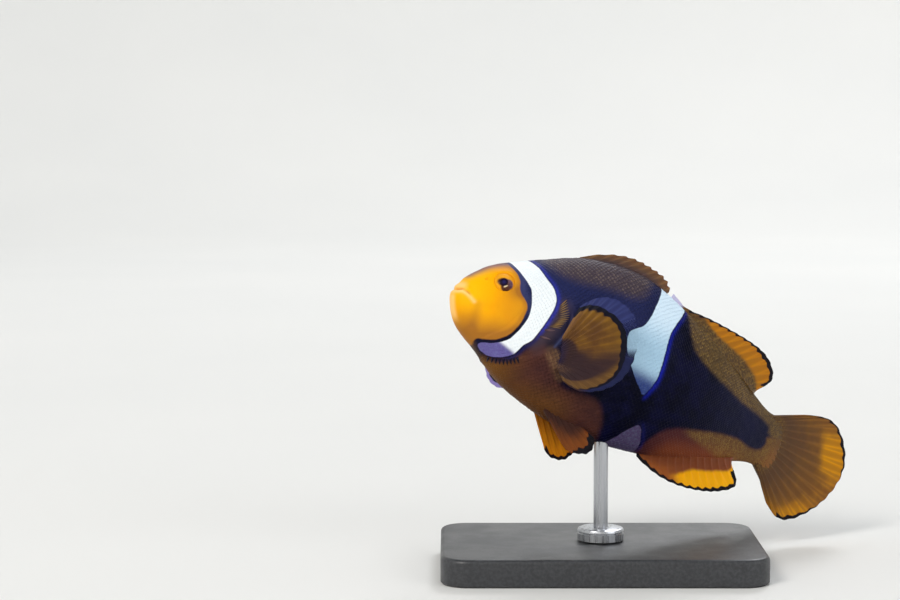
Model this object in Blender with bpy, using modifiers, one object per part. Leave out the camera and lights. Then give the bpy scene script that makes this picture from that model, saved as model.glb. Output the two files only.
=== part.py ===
"""A clownfish of the dark kind (Amphiprion percula) as a still, life-size display model.

The fish is first modelled straight, in its own frame and in millimetres: x runs back from the snout,
y to the fish's left and z up. Its tail is then swung to the right, and the whole fish is turned to its
swimming pose on a plain stand: a flat base and one upright rod that ends in a socket in the belly.
The scene is in metres with +Z up. The origin is the middle of the base's underside.
"""

import math

import bmesh
import bpy
import numpy as np
from mathutils import Matrix, Vector

# ------------------------------------------------------------------ driving dimensions, in millimetres
STANDARD_LENGTH = 71.0      # snout to the end of the tail stalk
BODY_DEPTH = 32.4           # the scale of the back and belly profiles
BODY_WIDTH = 14.8
EYE_DIAMETER = 4.4
FIN_EDGE_THICKNESS = 0.5
FIN_TAPER = 0.6             # power of the way out, for the thinning from root to edge
MEMBRANE_SHARE = 0.86       # of the ray's thickness, between the rays
PARTING_GAP = 0.3           # left between neighbouring pieces
BASE_LENGTH = 58.0
BASE_WIDTH = 38.0
BASE_HEIGHT = 5.0
ROD_DIAMETER = 2.6
SNOUT_HEIGHT = 50.5         # above the underside of the base

# ------------------------------------------------------------------ pose
NOSE_UP = math.radians(25.2)        # the long axis rises towards the snout
TURN = math.radians(15.0)           # the snout turns towards -Y
ROLL = math.radians(10.65)          # the left side tips up
TAIL_SWING = math.radians(20.0)     # the tail stalk's heading, away from the snout's
FIN_RETURN = math.radians(9.0)      # the tail fin trails, so that it turns back by this much
BEND_FROM, BEND_TO = 0.34, 1.01     # shares of the standard length that the swing is spread over
RETURN_FROM, RETURN_TO = 1.04, 1.32

MM = 0.001
BODY_RINGS = 34
FIRST_RING = 0.055          # root of the first ring's share of the standard length
RING_SIDES = 28
SOCKET_DEPTH = 5.0          # of the rod's hole in the belly
BASE_HOLE_DEPTH = 3.0
ROD_STATION = 0.515         # share of the standard length where the rod enters the belly

# ------------------------------------------------------------------ body profiles
# Each is a list of stations: share of the standard length, then height as a share of the body depth
# (or half width as a share of the body width).
MOUTH_HEIGHT = 0.0185
BACK = ((0, MOUTH_HEIGHT), (0.0155, 0.108), (0.070, 0.231), (0.169, 0.364), (0.282, 0.491), (0.394, 0.550),
        (0.479, 0.550), (0.563, 0.509), (0.662, 0.441), (0.789, 0.349), (0.901, 0.256), (1, 0.204))
BELLY = ((0, MOUTH_HEIGHT), (0.0113, -0.074), (0.048, -0.167), (0.113, -0.244), (0.186, -0.337),
         (0.290, -0.405), (0.408, -0.440), (0.521, -0.424), (0.634, -0.380), (0.761, -0.300),
         (0.887, -0.194), (1, -0.123))
FLANK = ((0, 0), (0.014, 0.165), (0.048, 0.262), (0.099, 0.345), (0.169, 0.430), (0.282, 0.493),
         (0.394, 0.500), (0.507, 0.460), (0.634, 0.375), (0.775, 0.262), (0.887, 0.165), (1, 0.085))
WIDEST_HEIGHT = ((0, MOUTH_HEIGHT), (0.085, 0.012), (0.282, -0.022), (0.423, 0.005), (0.634, 0.030),
                 (1, 0.043))
BACK_RIDGE = 1.14           # above 1, the section narrows faster towards the back's ridge
BELLY_FULLNESS = 0.94       # below 1, the section stays fuller towards the belly

# ------------------------------------------------------------------ lines that part the body, side view
# Points are (share of the standard length, height as a share of the body depth).
GILL_LINE = ((0.165, 0.62), (0.190, 0.40), (0.236, 0.262), (0.281, 0.165), (0.288, 0.075), (0.270, -0.055),
             (0.215, -0.190), (0.140, -0.262), (0.100, -0.300), (0.080, -0.42))
CHEEK_LINE = ((0.340, 0.330), (0.240, 0.302), (0.190, 0.235), (0.166, 0.130), (0.156, 0.010),
              (0.128, -0.110), (0.098, -0.190), (0.102, -0.265), (0.150, -0.360))
GILL_COVER_DEPTH = 3.6      # how far in from the flank's widest point the covers reach
MOUTH_SLIT = ((-0.03, 0.017), (0.020, 0.006), (0.050, -0.022), (0.066, -0.066), (0.068, -0.30))
TAIL_LINE = ((0.880, 0.60), (0.866, 0.15), (0.862, 0.02), (0.866, -0.10), (0.885, -0.50))

EYE_STATION = 0.100
EYE_HEIGHT = 0.152
EYE_INSET = 1.05            # the eyeball's middle lies this far inside the skin
EYE_FLATNESS = 0.72
EYE_GAZE = (-0.28, 0.90, 0.34)      # of the left eye: outward, a little forward and up

# ------------------------------------------------------------------ fin outlines
# Points are (share of the standard length, height as a share of the body depth); the pectoral's have the
# share of the body width between the two.
SPINY_MARGIN = ((0.285, 0.505), (0.350, 0.580), (0.425, 0.624), (0.490, 0.616), (0.533, 0.585),
                (0.548, 0.545))
SOFT_MARGIN = ((0.560, 0.545), (0.600, 0.505), (0.660, 0.505), (0.760, 0.512), (0.860, 0.506),
               (0.925, 0.462), (0.951, 0.390), (0.925, 0.305))
ANAL_MARGIN = ((0.622, -0.405), (0.680, -0.438), (0.760, -0.446), (0.850, -0.408), (0.925, -0.340),
               (0.956, -0.275), (0.935, -0.215))
TAIL_ROOT = ((0.985, 0.185), (0.978, 0.115), (0.976, 0.040), (0.978, -0.035), (0.985, -0.105))
TAIL_MARGIN = ((1.110, 0.303), (1.165, 0.342), (1.215, 0.350), (1.262, 0.290), (1.300, 0.140),
               (1.285, -0.050), (1.230, -0.225), (1.150, -0.322), (1.090, -0.262))
TAIL_CURL = 1.0             # how far the tail fin's lower corner swings to the right, in millimetres
PECTORAL_ROOT = ((0.281, 0.450, -0.047), (0.287, 0.458, -0.089), (0.290, 0.457, -0.132),
                 (0.298, 0.436, -0.178))
PECTORAL_MARGIN = ((0.288, 0.570, 0.175), (0.318, 0.660, 0.252), (0.360, 0.730, 0.280),
                   (0.402, 0.780, 0.252), (0.432, 0.812, 0.180), (0.446, 0.825, 0.080),
                   (0.449, 0.825, -0.030), (0.436, 0.805, -0.140), (0.396, 0.740, -0.235),
                   (0.355, 0.650, -0.266), (0.318, 0.570, -0.248))
PECTORAL_BOW = 0.6          # how far the middle of the blade swells outward, in millimetres
# The right pectoral is the left one's mirror image, turned about the middle of its root.
RIGHT_PECTORAL_SWING = math.radians(80)     # forward about the vertical
RIGHT_PECTORAL_DROP = math.radians(64)      # down about the long axis
RIGHT_PECTORAL_PITCH = math.radians(-54)    # about the cross axis, before the other two
RIGHT_ROOT_SPAN = 0.9       # of the left root's, and
RIGHT_ROOT_SINK = 0.6       # set this much further in, so that the turned root stays inside the flank
PELVIC_ROOT = ((0.312, -0.370), (0.345, -0.385), (0.385, -0.390), (0.420, -0.388))
PELVIC_ROOT_SPACING = 2.2   # from the middle of the breast to each root, in millimetres
PELVIC_TIP_SPACING = 4.2
PELVIC_MARGIN = {
    "left": ((0.395, -0.545), (0.424, -0.566), (0.445, -0.552), (0.466, -0.530), (0.474, -0.490),
             (0.468, -0.435)),
    "right": ((0.396, -0.556), (0.414, -0.586), (0.436, -0.588), (0.455, -0.575), (0.472, -0.530),
              (0.480, -0.455)),
}

# ------------------------------------------------------------------ stand details, in millimetres
BASE_CORNER = 5.0           # radius of the base's upright edges
BASE_EDGE = 0.8             # its bevel
COLLAR_RADIUS = 4.2
COLLAR_TOP_RADIUS = 3.6
COLLAR_HEIGHT = 2.2
COLLAR_SHOULDER = 0.5       # how far below the collar's top its slope begins
ROUND_SEGMENTS = 20

COLOURS = {
    "skin_orange": ((0.72, 0.33, 0.03), 0.42),
    "skin_dark": ((0.05, 0.04, 0.05), 0.42),
    "fin_brown": ((0.17, 0.08, 0.03), 0.45),
    "fin_orange": ((0.60, 0.24, 0.02), 0.45),
    "eye_dark": ((0.03, 0.02, 0.04), 0.08),
    "stand_dark": ((0.03, 0.03, 0.035), 0.45),
    "steel": ((0.55, 0.55, 0.57), 0.30),
}


# ------------------------------------------------------------------ curves
def spline(stations):
    """Returns the natural cubic spline through (x, y) stations, as a function that takes an array."""
    xs, ys = (np.array(column, float) for column in zip(*stations))
    step = np.diff(xs)
    slope = np.diff(ys) / step
    count = len(xs)
    system = np.eye(count)
    right = np.zeros(count)
    for i in range(1, count - 1):
        system[i, i - 1:i + 2] = step[i - 1], 2 * (step[i - 1] + step[i]), step[i]
        right[i] = 6 * (slope[i] - slope[i - 1])
    second = np.linalg.solve(system, right)

    def read(x):
        x = np.asarray(x, float)
        i = np.clip(np.searchsorted(xs, x) - 1, 0, count - 2)
        before, after = x - xs[i], xs[i + 1] - x
        curved = (second[i] * after ** 3 + second[i + 1] * before ** 3) / (6 * step[i])
        straight = (ys[i] / step[i] - second[i] * step[i] / 6) * after
        return curved + straight + (ys[i + 1] / step[i] - second[i + 1] * step[i] / 6) * before

    return read


def body_profile(stations, size):
    """A profile spaced by the root of the station, which makes the snout come out round."""
    read = spline([(math.sqrt(share), value * size) for share, value in stations])
    return lambda share: read(np.sqrt(share))


def curve_3d(points):
    """A smooth curve through 3D points, read by the share of its length."""
    points = np.array(points, float)
    along = np.concatenate([[0], np.cumsum(np.linalg.norm(np.diff(points, axis=0), axis=1))])
    along /= along[-1]
    axes = [spline(list(zip(along, points[:, axis]))) for axis in range(3)]
    return lambda share: np.stack([axis(share) for axis in axes], axis=-1)


back = body_profile(BACK, BODY_DEPTH)
belly = body_profile(BELLY, BODY_DEPTH)
flank = body_profile(FLANK, BODY_WIDTH)
widest_height = body_profile(WIDEST_HEIGHT, BODY_DEPTH)


def body_point(share, angle, grow=0.0):
    """The body's surface at a station; the angle is 0 at the left flank and a quarter turn at the back."""
    side, rise = math.cos(angle), math.sin(angle)
    middle = float(widest_height(share))
    reach = float(back(share)) - middle if rise > 0 else middle - float(belly(share))
    power = BACK_RIDGE if rise > 0 else BELLY_FULLNESS
    half = (float(flank(share)) + grow) * math.copysign(abs(side) ** power, side)
    return Vector((share * STANDARD_LENGTH, half, middle + (reach + grow) * rise))


# ------------------------------------------------------------------ from the straight fish to the scene
def swim_axes():
    """The fish's forward, left and up directions in the scene."""
    level = math.cos(NOSE_UP)
    forward = Vector((-level * math.cos(TURN), -level * math.sin(TURN), math.sin(NOSE_UP)))
    level_left = Vector((0, 0, 1)).cross(forward).normalized()
    level_up = forward.cross(level_left)
    left = level_left * math.cos(ROLL) + level_up * math.sin(ROLL)
    return forward, left, forward.cross(left)


def ease(value, low, high):
    """0 below low, 1 above high and smooth between."""
    t = np.clip((value - low) / (high - low), 0, 1)
    return t * t * (3 - 2 * t)


def heading(x):
    """How far the spine has swung to the right, x millimetres behind the snout."""
    share = np.asarray(x, float) / STANDARD_LENGTH
    return TAIL_SWING * ease(share, BEND_FROM, BEND_TO) - FIN_RETURN * ease(share, RETURN_FROM, RETURN_TO)


SPINE_X = np.linspace(0, 1.5 * STANDARD_LENGTH, 600)
SPINE_STEP = np.diff(SPINE_X)
SPINE_BACK = np.concatenate([[0], np.cumsum(np.cos(heading(SPINE_X[1:])) * SPINE_STEP)])
SPINE_RIGHT = np.concatenate([[0], np.cumsum(np.sin(heading(SPINE_X[1:])) * SPINE_STEP)])
FORWARD, LEFT, UP = swim_axes()


def turned(point):
    """A point of the straight fish after the swing and the turn, measured from the snout."""
    x, y, z = point
    angle = float(heading(max(x, 0)))
    along = float(np.interp(x, SPINE_X, SPINE_BACK)) if x > 0 else x
    right = float(np.interp(x, SPINE_X, SPINE_RIGHT)) if x > 0 else 0.0
    along += y * math.sin(angle)
    across = y * math.cos(angle) - right
    return -along * FORWARD + across * LEFT + z * UP


ROD_ENTRY = turned(body_point(ROD_STATION, -math.pi / 2))
SNOUT = Vector((-ROD_ENTRY.x, -ROD_ENTRY.y, SNOUT_HEIGHT))


def to_scene(point):
    return (turned(point) + SNOUT) * MM


# ------------------------------------------------------------------ Blender helpers
def clear_scene():
    for item in list(bpy.data.objects):
        bpy.data.objects.remove(item, do_unlink=True)


def new_collection(name):
    collection = bpy.data.collections.new(name)
    bpy.context.scene.collection.children.link(collection)
    return collection


def finish_material(name):
    colour, roughness = COLOURS[name]
    material = bpy.data.materials.get(name) or bpy.data.materials.new(name)
    material.use_nodes = True
    shader = material.node_tree.nodes["Principled BSDF"]
    shader.inputs["Base Color"].default_value = (*colour, 1)
    shader.inputs["Roughness"].default_value = roughness
    shader.inputs["Metallic"].default_value = 1.0 if name == "steel" else 0.0
    return material


def add_object(name, mesh, collection):
    item = bpy.data.objects.new(name, mesh)
    collection.objects.link(item)
    return item


def mesh_from(name, shape):
    bmesh.ops.recalc_face_normals(shape, faces=shape.faces)
    mesh = bpy.data.meshes.new(name)
    shape.to_mesh(mesh)
    shape.free()
    return mesh


def boolean(item, cutter, operation):
    cutting = item.modifiers.new(operation.lower() + "_" + cutter.name, "BOOLEAN")
    cutting.operation = operation
    cutting.solver = "EXACT"
    cutting.object = cutter


def apply_all(item):
    """Puts the evaluated mesh in place of the object's own and removes its modifiers."""
    bpy.context.view_layer.update()
    graph = bpy.context.evaluated_depsgraph_get()
    mesh = bpy.data.meshes.new_from_object(item.evaluated_get(graph))
    item.modifiers.clear()
    item.data = mesh


def drop_slivers(mesh, distance):
    shape = bmesh.new()
    shape.from_mesh(mesh)
    bmesh.ops.remove_doubles(shape, verts=shape.verts, dist=distance)
    bmesh.ops.dissolve_degenerate(shape, edges=shape.edges, dist=distance)
    shape.to_mesh(mesh)
    shape.free()


# ------------------------------------------------------------------ solids of the straight fish
def body_loft(name, collection, grow=0.0):
    """The whole body, from the mouth to the end of the tail stalk, lofted through its rings."""
    shape = bmesh.new()
    angles = [2 * math.pi * i / RING_SIDES for i in range(RING_SIDES)]
    rings = []
    for root in np.linspace(FIRST_RING, 1, BODY_RINGS):
        rings.append([shape.verts.new(body_point(root ** 2, angle, grow)) for angle in angles])
    snout = shape.verts.new((-grow, 0, MOUTH_HEIGHT * BODY_DEPTH))
    for ring, behind in zip(rings, rings[1:]):
        for i in range(RING_SIDES):
            j = (i + 1) % RING_SIDES
            shape.faces.new((ring[i], ring[j], behind[j], behind[i]))
    for i in range(RING_SIDES):
        shape.faces.new((snout, rings[0][(i + 1) % RING_SIDES], rings[0][i]))
    if grow:
        for vertex in rings[-1]:
            vertex.co.x += grow
    shape.faces.new(rings[-1])
    return add_object(name, mesh_from(name, shape), collection)


def side_line(points, offset=0.0, samples=16):
    """A smooth line in side view, in millimetres, moved by the offset (towards the tail if above 0)."""
    scaled = [(x * STANDARD_LENGTH, 0, z * BODY_DEPTH) for x, z in points]
    line = curve_3d(scaled)(np.linspace(0, 1, samples))[:, (0, 2)]
    along = np.gradient(line, axis=0)
    along /= np.linalg.norm(along, axis=1)[:, None]
    sideways = np.stack([-along[:, 1], along[:, 0]], axis=1)
    return line + offset * sideways


def prism(name, outline, low_y, high_y, collection):
    """A closed solid with a side-view outline, from low_y to high_y across the fish."""
    shape = bmesh.new()
    face = shape.faces.new([shape.verts.new((x, low_y, z)) for x, z in outline])
    wall = bmesh.ops.extrude_face_region(shape, geom=[face])["geom"]
    far_side = [part for part in wall if isinstance(part, bmesh.types.BMVert)]
    bmesh.ops.translate(shape, vec=(0, high_y - low_y, 0), verts=far_side)
    item = add_object(name, mesh_from(name, shape), collection)
    item.display_type = "WIRE"
    item.hide_render = True
    return item


def rayed_fin(name, collection, base, margin, rays, rows, root_thickness,
              scallop=0.25, bow=0.0, curl=0.0):
    """A fin: a fan of rays from the base curve to the margin curve, thick at the rays and the root.

    The margin is drawn in between the rays by the scallop. The bow swells the fin's middle to the left, and
    the curl swings its lower rays to the right.
    """
    columns = 2 * rays
    base_curve, margin_curve = curve_3d(base), curve_3d(margin)
    shape = bmesh.new()
    grid = []
    weights = []
    for column in range(columns + 1):
        share = column / columns
        root, tip = base_curve(share), margin_curve(share)
        on_ray = column % 2 == 1
        length = np.linalg.norm(tip - root)
        if not on_ray:
            tip = root + (tip - root) * (1 - scallop / length)
        line = []
        for row in range(rows + 1):
            out = row / rows
            point = root + (tip - root) * out
            point[1] += bow * math.sin(math.pi * out) * math.sin(math.pi * share)
            point[1] -= curl * out ** 2 * share ** 2
            line.append(shape.verts.new(point))
            thickness = root_thickness + (FIN_EDGE_THICKNESS - root_thickness) * out ** FIN_TAPER
            relief = 1.0 if on_ray else MEMBRANE_SHARE
            weights.append(max(thickness * relief, FIN_EDGE_THICKNESS) / root_thickness)
        grid.append(line)
    for line, beside in zip(grid, grid[1:]):
        for row in range(rows):
            shape.faces.new((line[row], line[row + 1], beside[row + 1], beside[row]))
    item = add_object(name, mesh_from(name, shape), collection)
    group = item.vertex_groups.new(name="thickness")
    for index, weight in enumerate(weights):
        group.add([index], weight, "REPLACE")
    shell = item.modifiers.new("thickness", "SOLIDIFY")
    shell.thickness = root_thickness
    shell.offset = 0
    shell.use_even_offset = False
    shell.vertex_group = group.name
    shell.thickness_vertex_group = 0
    return item


def scaled(points, y=0.0):
    """Fin points given as (share of the standard length, share of the body depth), set at one y."""
    return [(x * STANDARD_LENGTH, y, z * BODY_DEPTH) for x, z in points]


def along_back(start, end, sink, count=6):
    return [(x * STANDARD_LENGTH, 0, float(back(x)) - sink) for x in np.linspace(start, end, count)]


def along_belly(start, end, sink, count=6):
    return [(x * STANDARD_LENGTH, 0, float(belly(x)) + sink) for x in np.linspace(start, end, count)]


# ------------------------------------------------------------------ fins
def spiny_dorsal(collection):
    """The front dorsal fin, folded down to a low crest of backward-lying spines."""
    root = along_back(0.270, 0.530, sink=1.2)
    rayed_fin("dorsal_fin_spiny", collection, root, scaled(SPINY_MARGIN), 9, 3, 1.5, scallop=0.5)


def soft_dorsal(collection):
    root = along_back(0.553, 0.892, sink=1.0)
    rayed_fin("dorsal_fin_soft", collection, root, scaled(SOFT_MARGIN), 14, 5, 1.2)


def anal_fin(collection):
    root = along_belly(0.615, 0.895, sink=1.0)
    rayed_fin("anal_fin", collection, root, scaled(ANAL_MARGIN), 12, 5, 1.2)


def tail_fin(collection):
    root, margin = scaled(TAIL_ROOT), scaled(TAIL_MARGIN)
    rayed_fin("caudal_fin", collection, root, margin, 12, 8, 1.5, scallop=0.35, curl=TAIL_CURL)


def pectoral_points(shares):
    return [Vector((x * STANDARD_LENGTH, y * BODY_WIDTH, z * BODY_DEPTH)) for x, y, z in shares]


def pectoral_fins(collection):
    """The left fin sweeps back along the flank; the right one is spread out, forward and down."""
    root, margin = pectoral_points(PECTORAL_ROOT), pectoral_points(PECTORAL_MARGIN)
    rayed_fin("pectoral_fin_left", collection, root, margin, 12, 5, 1.1, bow=PECTORAL_BOW)
    mirror = Matrix.Scale(-1, 4, Vector((0, 1, 0)))
    pivot = mirror @ (sum(root, Vector()) / len(root))
    spread = Matrix.Rotation(RIGHT_PECTORAL_DROP, 4, "X") @ Matrix.Rotation(-RIGHT_PECTORAL_SWING, 4, "Z")
    spread = spread @ Matrix.Rotation(RIGHT_PECTORAL_PITCH, 4, "Y")
    place = Matrix.Translation(pivot) @ spread @ Matrix.Translation(-pivot) @ mirror
    inward = Vector((0, RIGHT_ROOT_SINK, 0))
    right_root = [pivot + (mirror @ point - pivot) * RIGHT_ROOT_SPAN + inward for point in root]
    right_margin = [place @ point for point in margin]
    rayed_fin("pectoral_fin_right", collection, right_root, right_margin, 12, 5, 1.1, bow=-PECTORAL_BOW)


def pelvic_fins(collection):
    """Two short fins under the breast, behind the pectorals; the left one lies further back."""
    for side, sign in (("left", 1), ("right", -1)):
        root = scaled(PELVIC_ROOT, y=sign * PELVIC_ROOT_SPACING)
        margin = scaled(PELVIC_MARGIN[side], y=sign * PELVIC_TIP_SPACING)
        rayed_fin("pelvic_fin_" + side, collection, root, margin, 6, 5, 1.1, scallop=0.35)


# ------------------------------------------------------------------ body pieces
def eyeball(name, side, grow, collection):
    """A flattened ball that looks outward, a little forward and up."""
    shape = bmesh.new()
    bmesh.ops.create_uvsphere(shape, u_segments=16, v_segments=10, radius=EYE_DIAMETER / 2 + grow)
    height = EYE_HEIGHT * BODY_DEPTH
    top, middle = float(back(EYE_STATION)), float(widest_height(EYE_STATION))
    surface = body_point(EYE_STATION, math.asin((height - middle) / (top - middle)))
    gaze = Vector((EYE_GAZE[0], side * EYE_GAZE[1], EYE_GAZE[2])).normalized()
    centre = Vector((surface.x, side * surface.y, height)) - gaze * EYE_INSET
    flatten = Matrix.Diagonal((1, 1, EYE_FLATNESS, 1))
    place = Matrix.Translation(centre) @ gaze.to_track_quat("Z", "Y").to_matrix().to_4x4() @ flatten
    bmesh.ops.transform(shape, matrix=place, verts=shape.verts)
    return add_object(name, mesh_from(name, shape), collection)


def body_pieces(collection, cutters):
    """Parts the body into head, jaw, gill covers, trunk and tail with thin cuts."""
    half_gap = PARTING_GAP / 2
    front, rear, tall, wide = -10.0, 1.2 * STANDARD_LENGTH, BODY_DEPTH, BODY_WIDTH

    def piece(name, keep, cut=()):
        item = body_loft(name, collection)
        boolean(item, keep, "INTERSECT")
        for cutter in cut:
            boolean(item, cutter, "DIFFERENCE")
        return item

    def behind_and_ahead(points, offset):
        ahead = [(front, tall), *side_line(points, -offset), (front, -tall)]
        behind = [(rear, tall), *side_line(points, offset), (rear, -tall)]
        return ahead, behind

    gill_ahead, gill_behind = behind_and_ahead(GILL_LINE, half_gap)
    tail_ahead, tail_behind = behind_and_ahead(TAIL_LINE, half_gap)
    head_block = prism("cut_head", gill_ahead, -wide, wide, cutters)
    gill_block = prism("cut_behind_gills", gill_behind, -wide, wide, cutters)
    tail_side = prism("cut_tail_side", tail_behind, -wide, wide, cutters)
    tail_room = prism("cut_tail_room", behind_and_ahead(TAIL_LINE, -half_gap)[1], -wide, wide, cutters)

    def jaw_outline(offset):
        mouth = MOUTH_SLIT[0][1] * BODY_DEPTH + offset
        return [(front, -tall / 2), (front, mouth), *side_line(MOUTH_SLIT, offset)]

    jaw_block = prism("cut_jaw", jaw_outline(-half_gap), -wide, wide, cutters)
    jaw_room = prism("cut_jaw_room", jaw_outline(half_gap), -wide, wide, cutters)

    covers, rooms = {}, {}
    for side, sign in (("left", 1), ("right", -1)):
        inner = sign * (BODY_WIDTH / 2 - GILL_COVER_DEPTH)
        for store, kind, offset in ((covers, "cut_cover_", half_gap), (rooms, "cut_cover_room_", -half_gap)):
            outline = behind_and_ahead(CHEEK_LINE, offset)[1]
            low, high = sorted((inner + sign * offset, sign * wide))
            store[side] = prism(kind + side, outline, low, high, cutters)

    eye_rooms = []
    for side, sign in (("left", 1), ("right", -1)):
        eyeball("eye_" + side, sign, 0.0, collection)
        room = eyeball("cut_eye_" + side, sign, PARTING_GAP, cutters)
        room.display_type = "WIRE"
        room.hide_render = True
        eye_rooms.append(room)

    piece("head", head_block, [jaw_room, rooms["left"], rooms["right"], *eye_rooms])
    piece("lower_jaw", jaw_block)
    for side in ("left", "right"):
        cover = piece("gill_cover_" + side, covers[side])
        boolean(cover, head_block, "INTERSECT")
    piece("trunk", gill_block, [tail_room])
    piece("tail", tail_side)


# ------------------------------------------------------------------ stand
def stand(collection, cutters):
    """A bevelled base plate, a rod between a hole in the base and a socket in the belly, and a collar."""
    base_size = Vector((BASE_LENGTH, BASE_WIDTH, BASE_HEIGHT)) * MM
    bpy.ops.mesh.primitive_cube_add(size=1, location=(0, 0, base_size.z / 2))
    base = bpy.context.object
    base.name = "stand_base"
    base.data.transform(Matrix.Diagonal((*base_size, 1)))
    move_to(base, collection)
    corner_round(base, BASE_CORNER * MM)
    edge = base.modifiers.new("edge", "BEVEL")
    edge.width = BASE_EDGE * MM
    edge.segments = 2
    edge.limit_method = "ANGLE"
    edge.angle_limit = math.radians(50)

    radius = ROD_DIAMETER / 2
    bore = radius + PARTING_GAP
    hole_floor = BASE_HEIGHT - BASE_HOLE_DEPTH
    belly_height = SNOUT_HEIGHT + ROD_ENTRY.z
    socket_top = belly_height + SOCKET_DEPTH
    hole = upright("cut_base_hole", bore, hole_floor, 2 * BASE_HEIGHT, cutters)
    boolean(base, hole, "DIFFERENCE")
    socket = upright("cut_belly_socket", bore, belly_height - 2 * SOCKET_DEPTH, socket_top, cutters)
    upright("stand_rod", radius, hole_floor + PARTING_GAP, socket_top - PARTING_GAP, collection)

    bottom = BASE_HEIGHT + PARTING_GAP
    top = bottom + COLLAR_HEIGHT
    profile = ((COLLAR_RADIUS, top - COLLAR_SHOULDER), (COLLAR_RADIUS, bottom), (bore, bottom), (bore, top),
               (COLLAR_TOP_RADIUS, top))
    turned_ring("stand_collar", profile, collection)
    return socket


def move_to(item, collection):
    for holder in list(item.users_collection):
        holder.objects.unlink(item)
    collection.objects.link(item)


def corner_round(item, radius):
    """Rounds the plate's four upright edges."""
    shape = bmesh.new()
    shape.from_mesh(item.data)
    uprights = [e for e in shape.edges if abs(e.verts[0].co.z - e.verts[1].co.z) > 1e-5]
    bmesh.ops.bevel(shape, geom=uprights, offset=radius, segments=5, affect="EDGES", profile=0.5)
    shape.to_mesh(item.data)
    shape.free()


def upright(name, radius, bottom, top, collection):
    """A cylinder on the stand's axis, given in millimetres."""
    shape = bmesh.new()
    place = Matrix.Translation((0, 0, (bottom + top) / 2 * MM))
    bmesh.ops.create_cone(shape, cap_ends=True, segments=ROUND_SEGMENTS, radius1=radius * MM,
                          radius2=radius * MM, depth=(top - bottom) * MM, matrix=place)
    item = add_object(name, mesh_from(name, shape), collection)
    if name.startswith("cut_"):
        item.display_type = "WIRE"
        item.hide_render = True
    return item


def turned_ring(name, profile, collection):
    """A ring turned about the stand's axis; the profile is closed and in millimetres."""
    shape = bmesh.new()
    corners = [shape.verts.new((r * MM, 0, z * MM)) for r, z in profile]
    for start, end in zip(corners, corners[1:] + corners[:1]):
        shape.edges.new((start, end))
    mesh = bpy.data.meshes.new(name)
    shape.to_mesh(mesh)
    shape.free()
    item = add_object(name, mesh, collection)
    turn = item.modifiers.new("turn", "SCREW")
    turn.steps = turn.render_steps = ROUND_SEGMENTS
    turn.use_merge_vertices = True
    turn.merge_threshold = 1e-5
    turn.use_normal_calculate = True
    apply_all(item)
    shape = bmesh.new()
    shape.from_mesh(item.data)
    bmesh.ops.recalc_face_normals(shape, faces=shape.faces)
    shape.to_mesh(item.data)
    shape.free()
    return item


# ------------------------------------------------------------------ assembly
MATERIAL_OF = {
    "head": "skin_orange", "lower_jaw": "skin_orange", "gill_cover": "skin_orange", "trunk": "skin_dark",
    "tail": "skin_dark", "eye": "eye_dark", "dorsal_fin": "fin_brown", "pectoral_fin": "fin_brown",
    "anal_fin": "fin_orange", "pelvic_fin": "fin_orange", "caudal_fin": "fin_brown",
    "stand_base": "stand_dark", "stand_rod": "steel", "stand_collar": "steel",
}


def main():
    clear_scene()
    model = new_collection("clownfish")
    cutters = new_collection("cutters")
    body_pieces(model, cutters)
    grown = body_loft("cut_body_room", cutters, PARTING_GAP)
    grown.display_type = "WIRE"
    grown.hide_render = True
    for make_fin in (spiny_dorsal, soft_dorsal, anal_fin, tail_fin, pectoral_fins, pelvic_fins):
        make_fin(model)
    for item in model.objects:
        if "_fin" in item.name:
            boolean(item, grown, "DIFFERENCE")
    for item in model.objects:
        apply_all(item)
        drop_slivers(item.data, 1e-3)
        for vertex in item.data.vertices:
            vertex.co = to_scene(vertex.co)
        item.data.flip_normals()        # the straight fish's axes are left-handed
    socket = stand(model, cutters)
    boolean(bpy.data.objects["trunk"], socket, "DIFFERENCE")
    for item in model.objects:
        kind = next(name for start, name in MATERIAL_OF.items() if item.name.startswith(start))
        item.data.materials.clear()
        item.data.materials.append(finish_material(kind))
        if not item.name.startswith("stand_base"):
            item.data.shade_smooth()
            item.data.set_sharp_from_angle(angle=math.radians(40))


main()
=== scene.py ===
"""The looks of the clownfish model: one scaled skin, rayed fins, eyes and the stand's finish.

The fish is laid out straight and in millimetres, as in the solids: x runs back from the snout, y to the
fish's left, z up. bend_and_turn() then swings the tail and turns the fish to its place on the stand.
"""
import math

import bpy
import numpy as np
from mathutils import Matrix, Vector


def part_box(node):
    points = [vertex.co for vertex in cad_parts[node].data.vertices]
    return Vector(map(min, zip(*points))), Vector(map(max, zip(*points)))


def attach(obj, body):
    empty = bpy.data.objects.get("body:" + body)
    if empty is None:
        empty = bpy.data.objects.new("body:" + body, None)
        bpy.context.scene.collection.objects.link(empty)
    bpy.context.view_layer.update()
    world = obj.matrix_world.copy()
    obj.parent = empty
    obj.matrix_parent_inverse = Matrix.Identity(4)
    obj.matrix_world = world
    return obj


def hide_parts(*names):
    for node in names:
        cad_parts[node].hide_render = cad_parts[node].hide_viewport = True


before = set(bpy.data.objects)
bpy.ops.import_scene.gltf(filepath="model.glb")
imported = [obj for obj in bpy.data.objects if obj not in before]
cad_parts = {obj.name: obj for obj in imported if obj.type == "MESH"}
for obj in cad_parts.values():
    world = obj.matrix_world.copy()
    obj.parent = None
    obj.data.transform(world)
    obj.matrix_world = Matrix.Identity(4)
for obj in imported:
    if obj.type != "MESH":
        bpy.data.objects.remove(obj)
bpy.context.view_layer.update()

MM = 0.001

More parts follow.
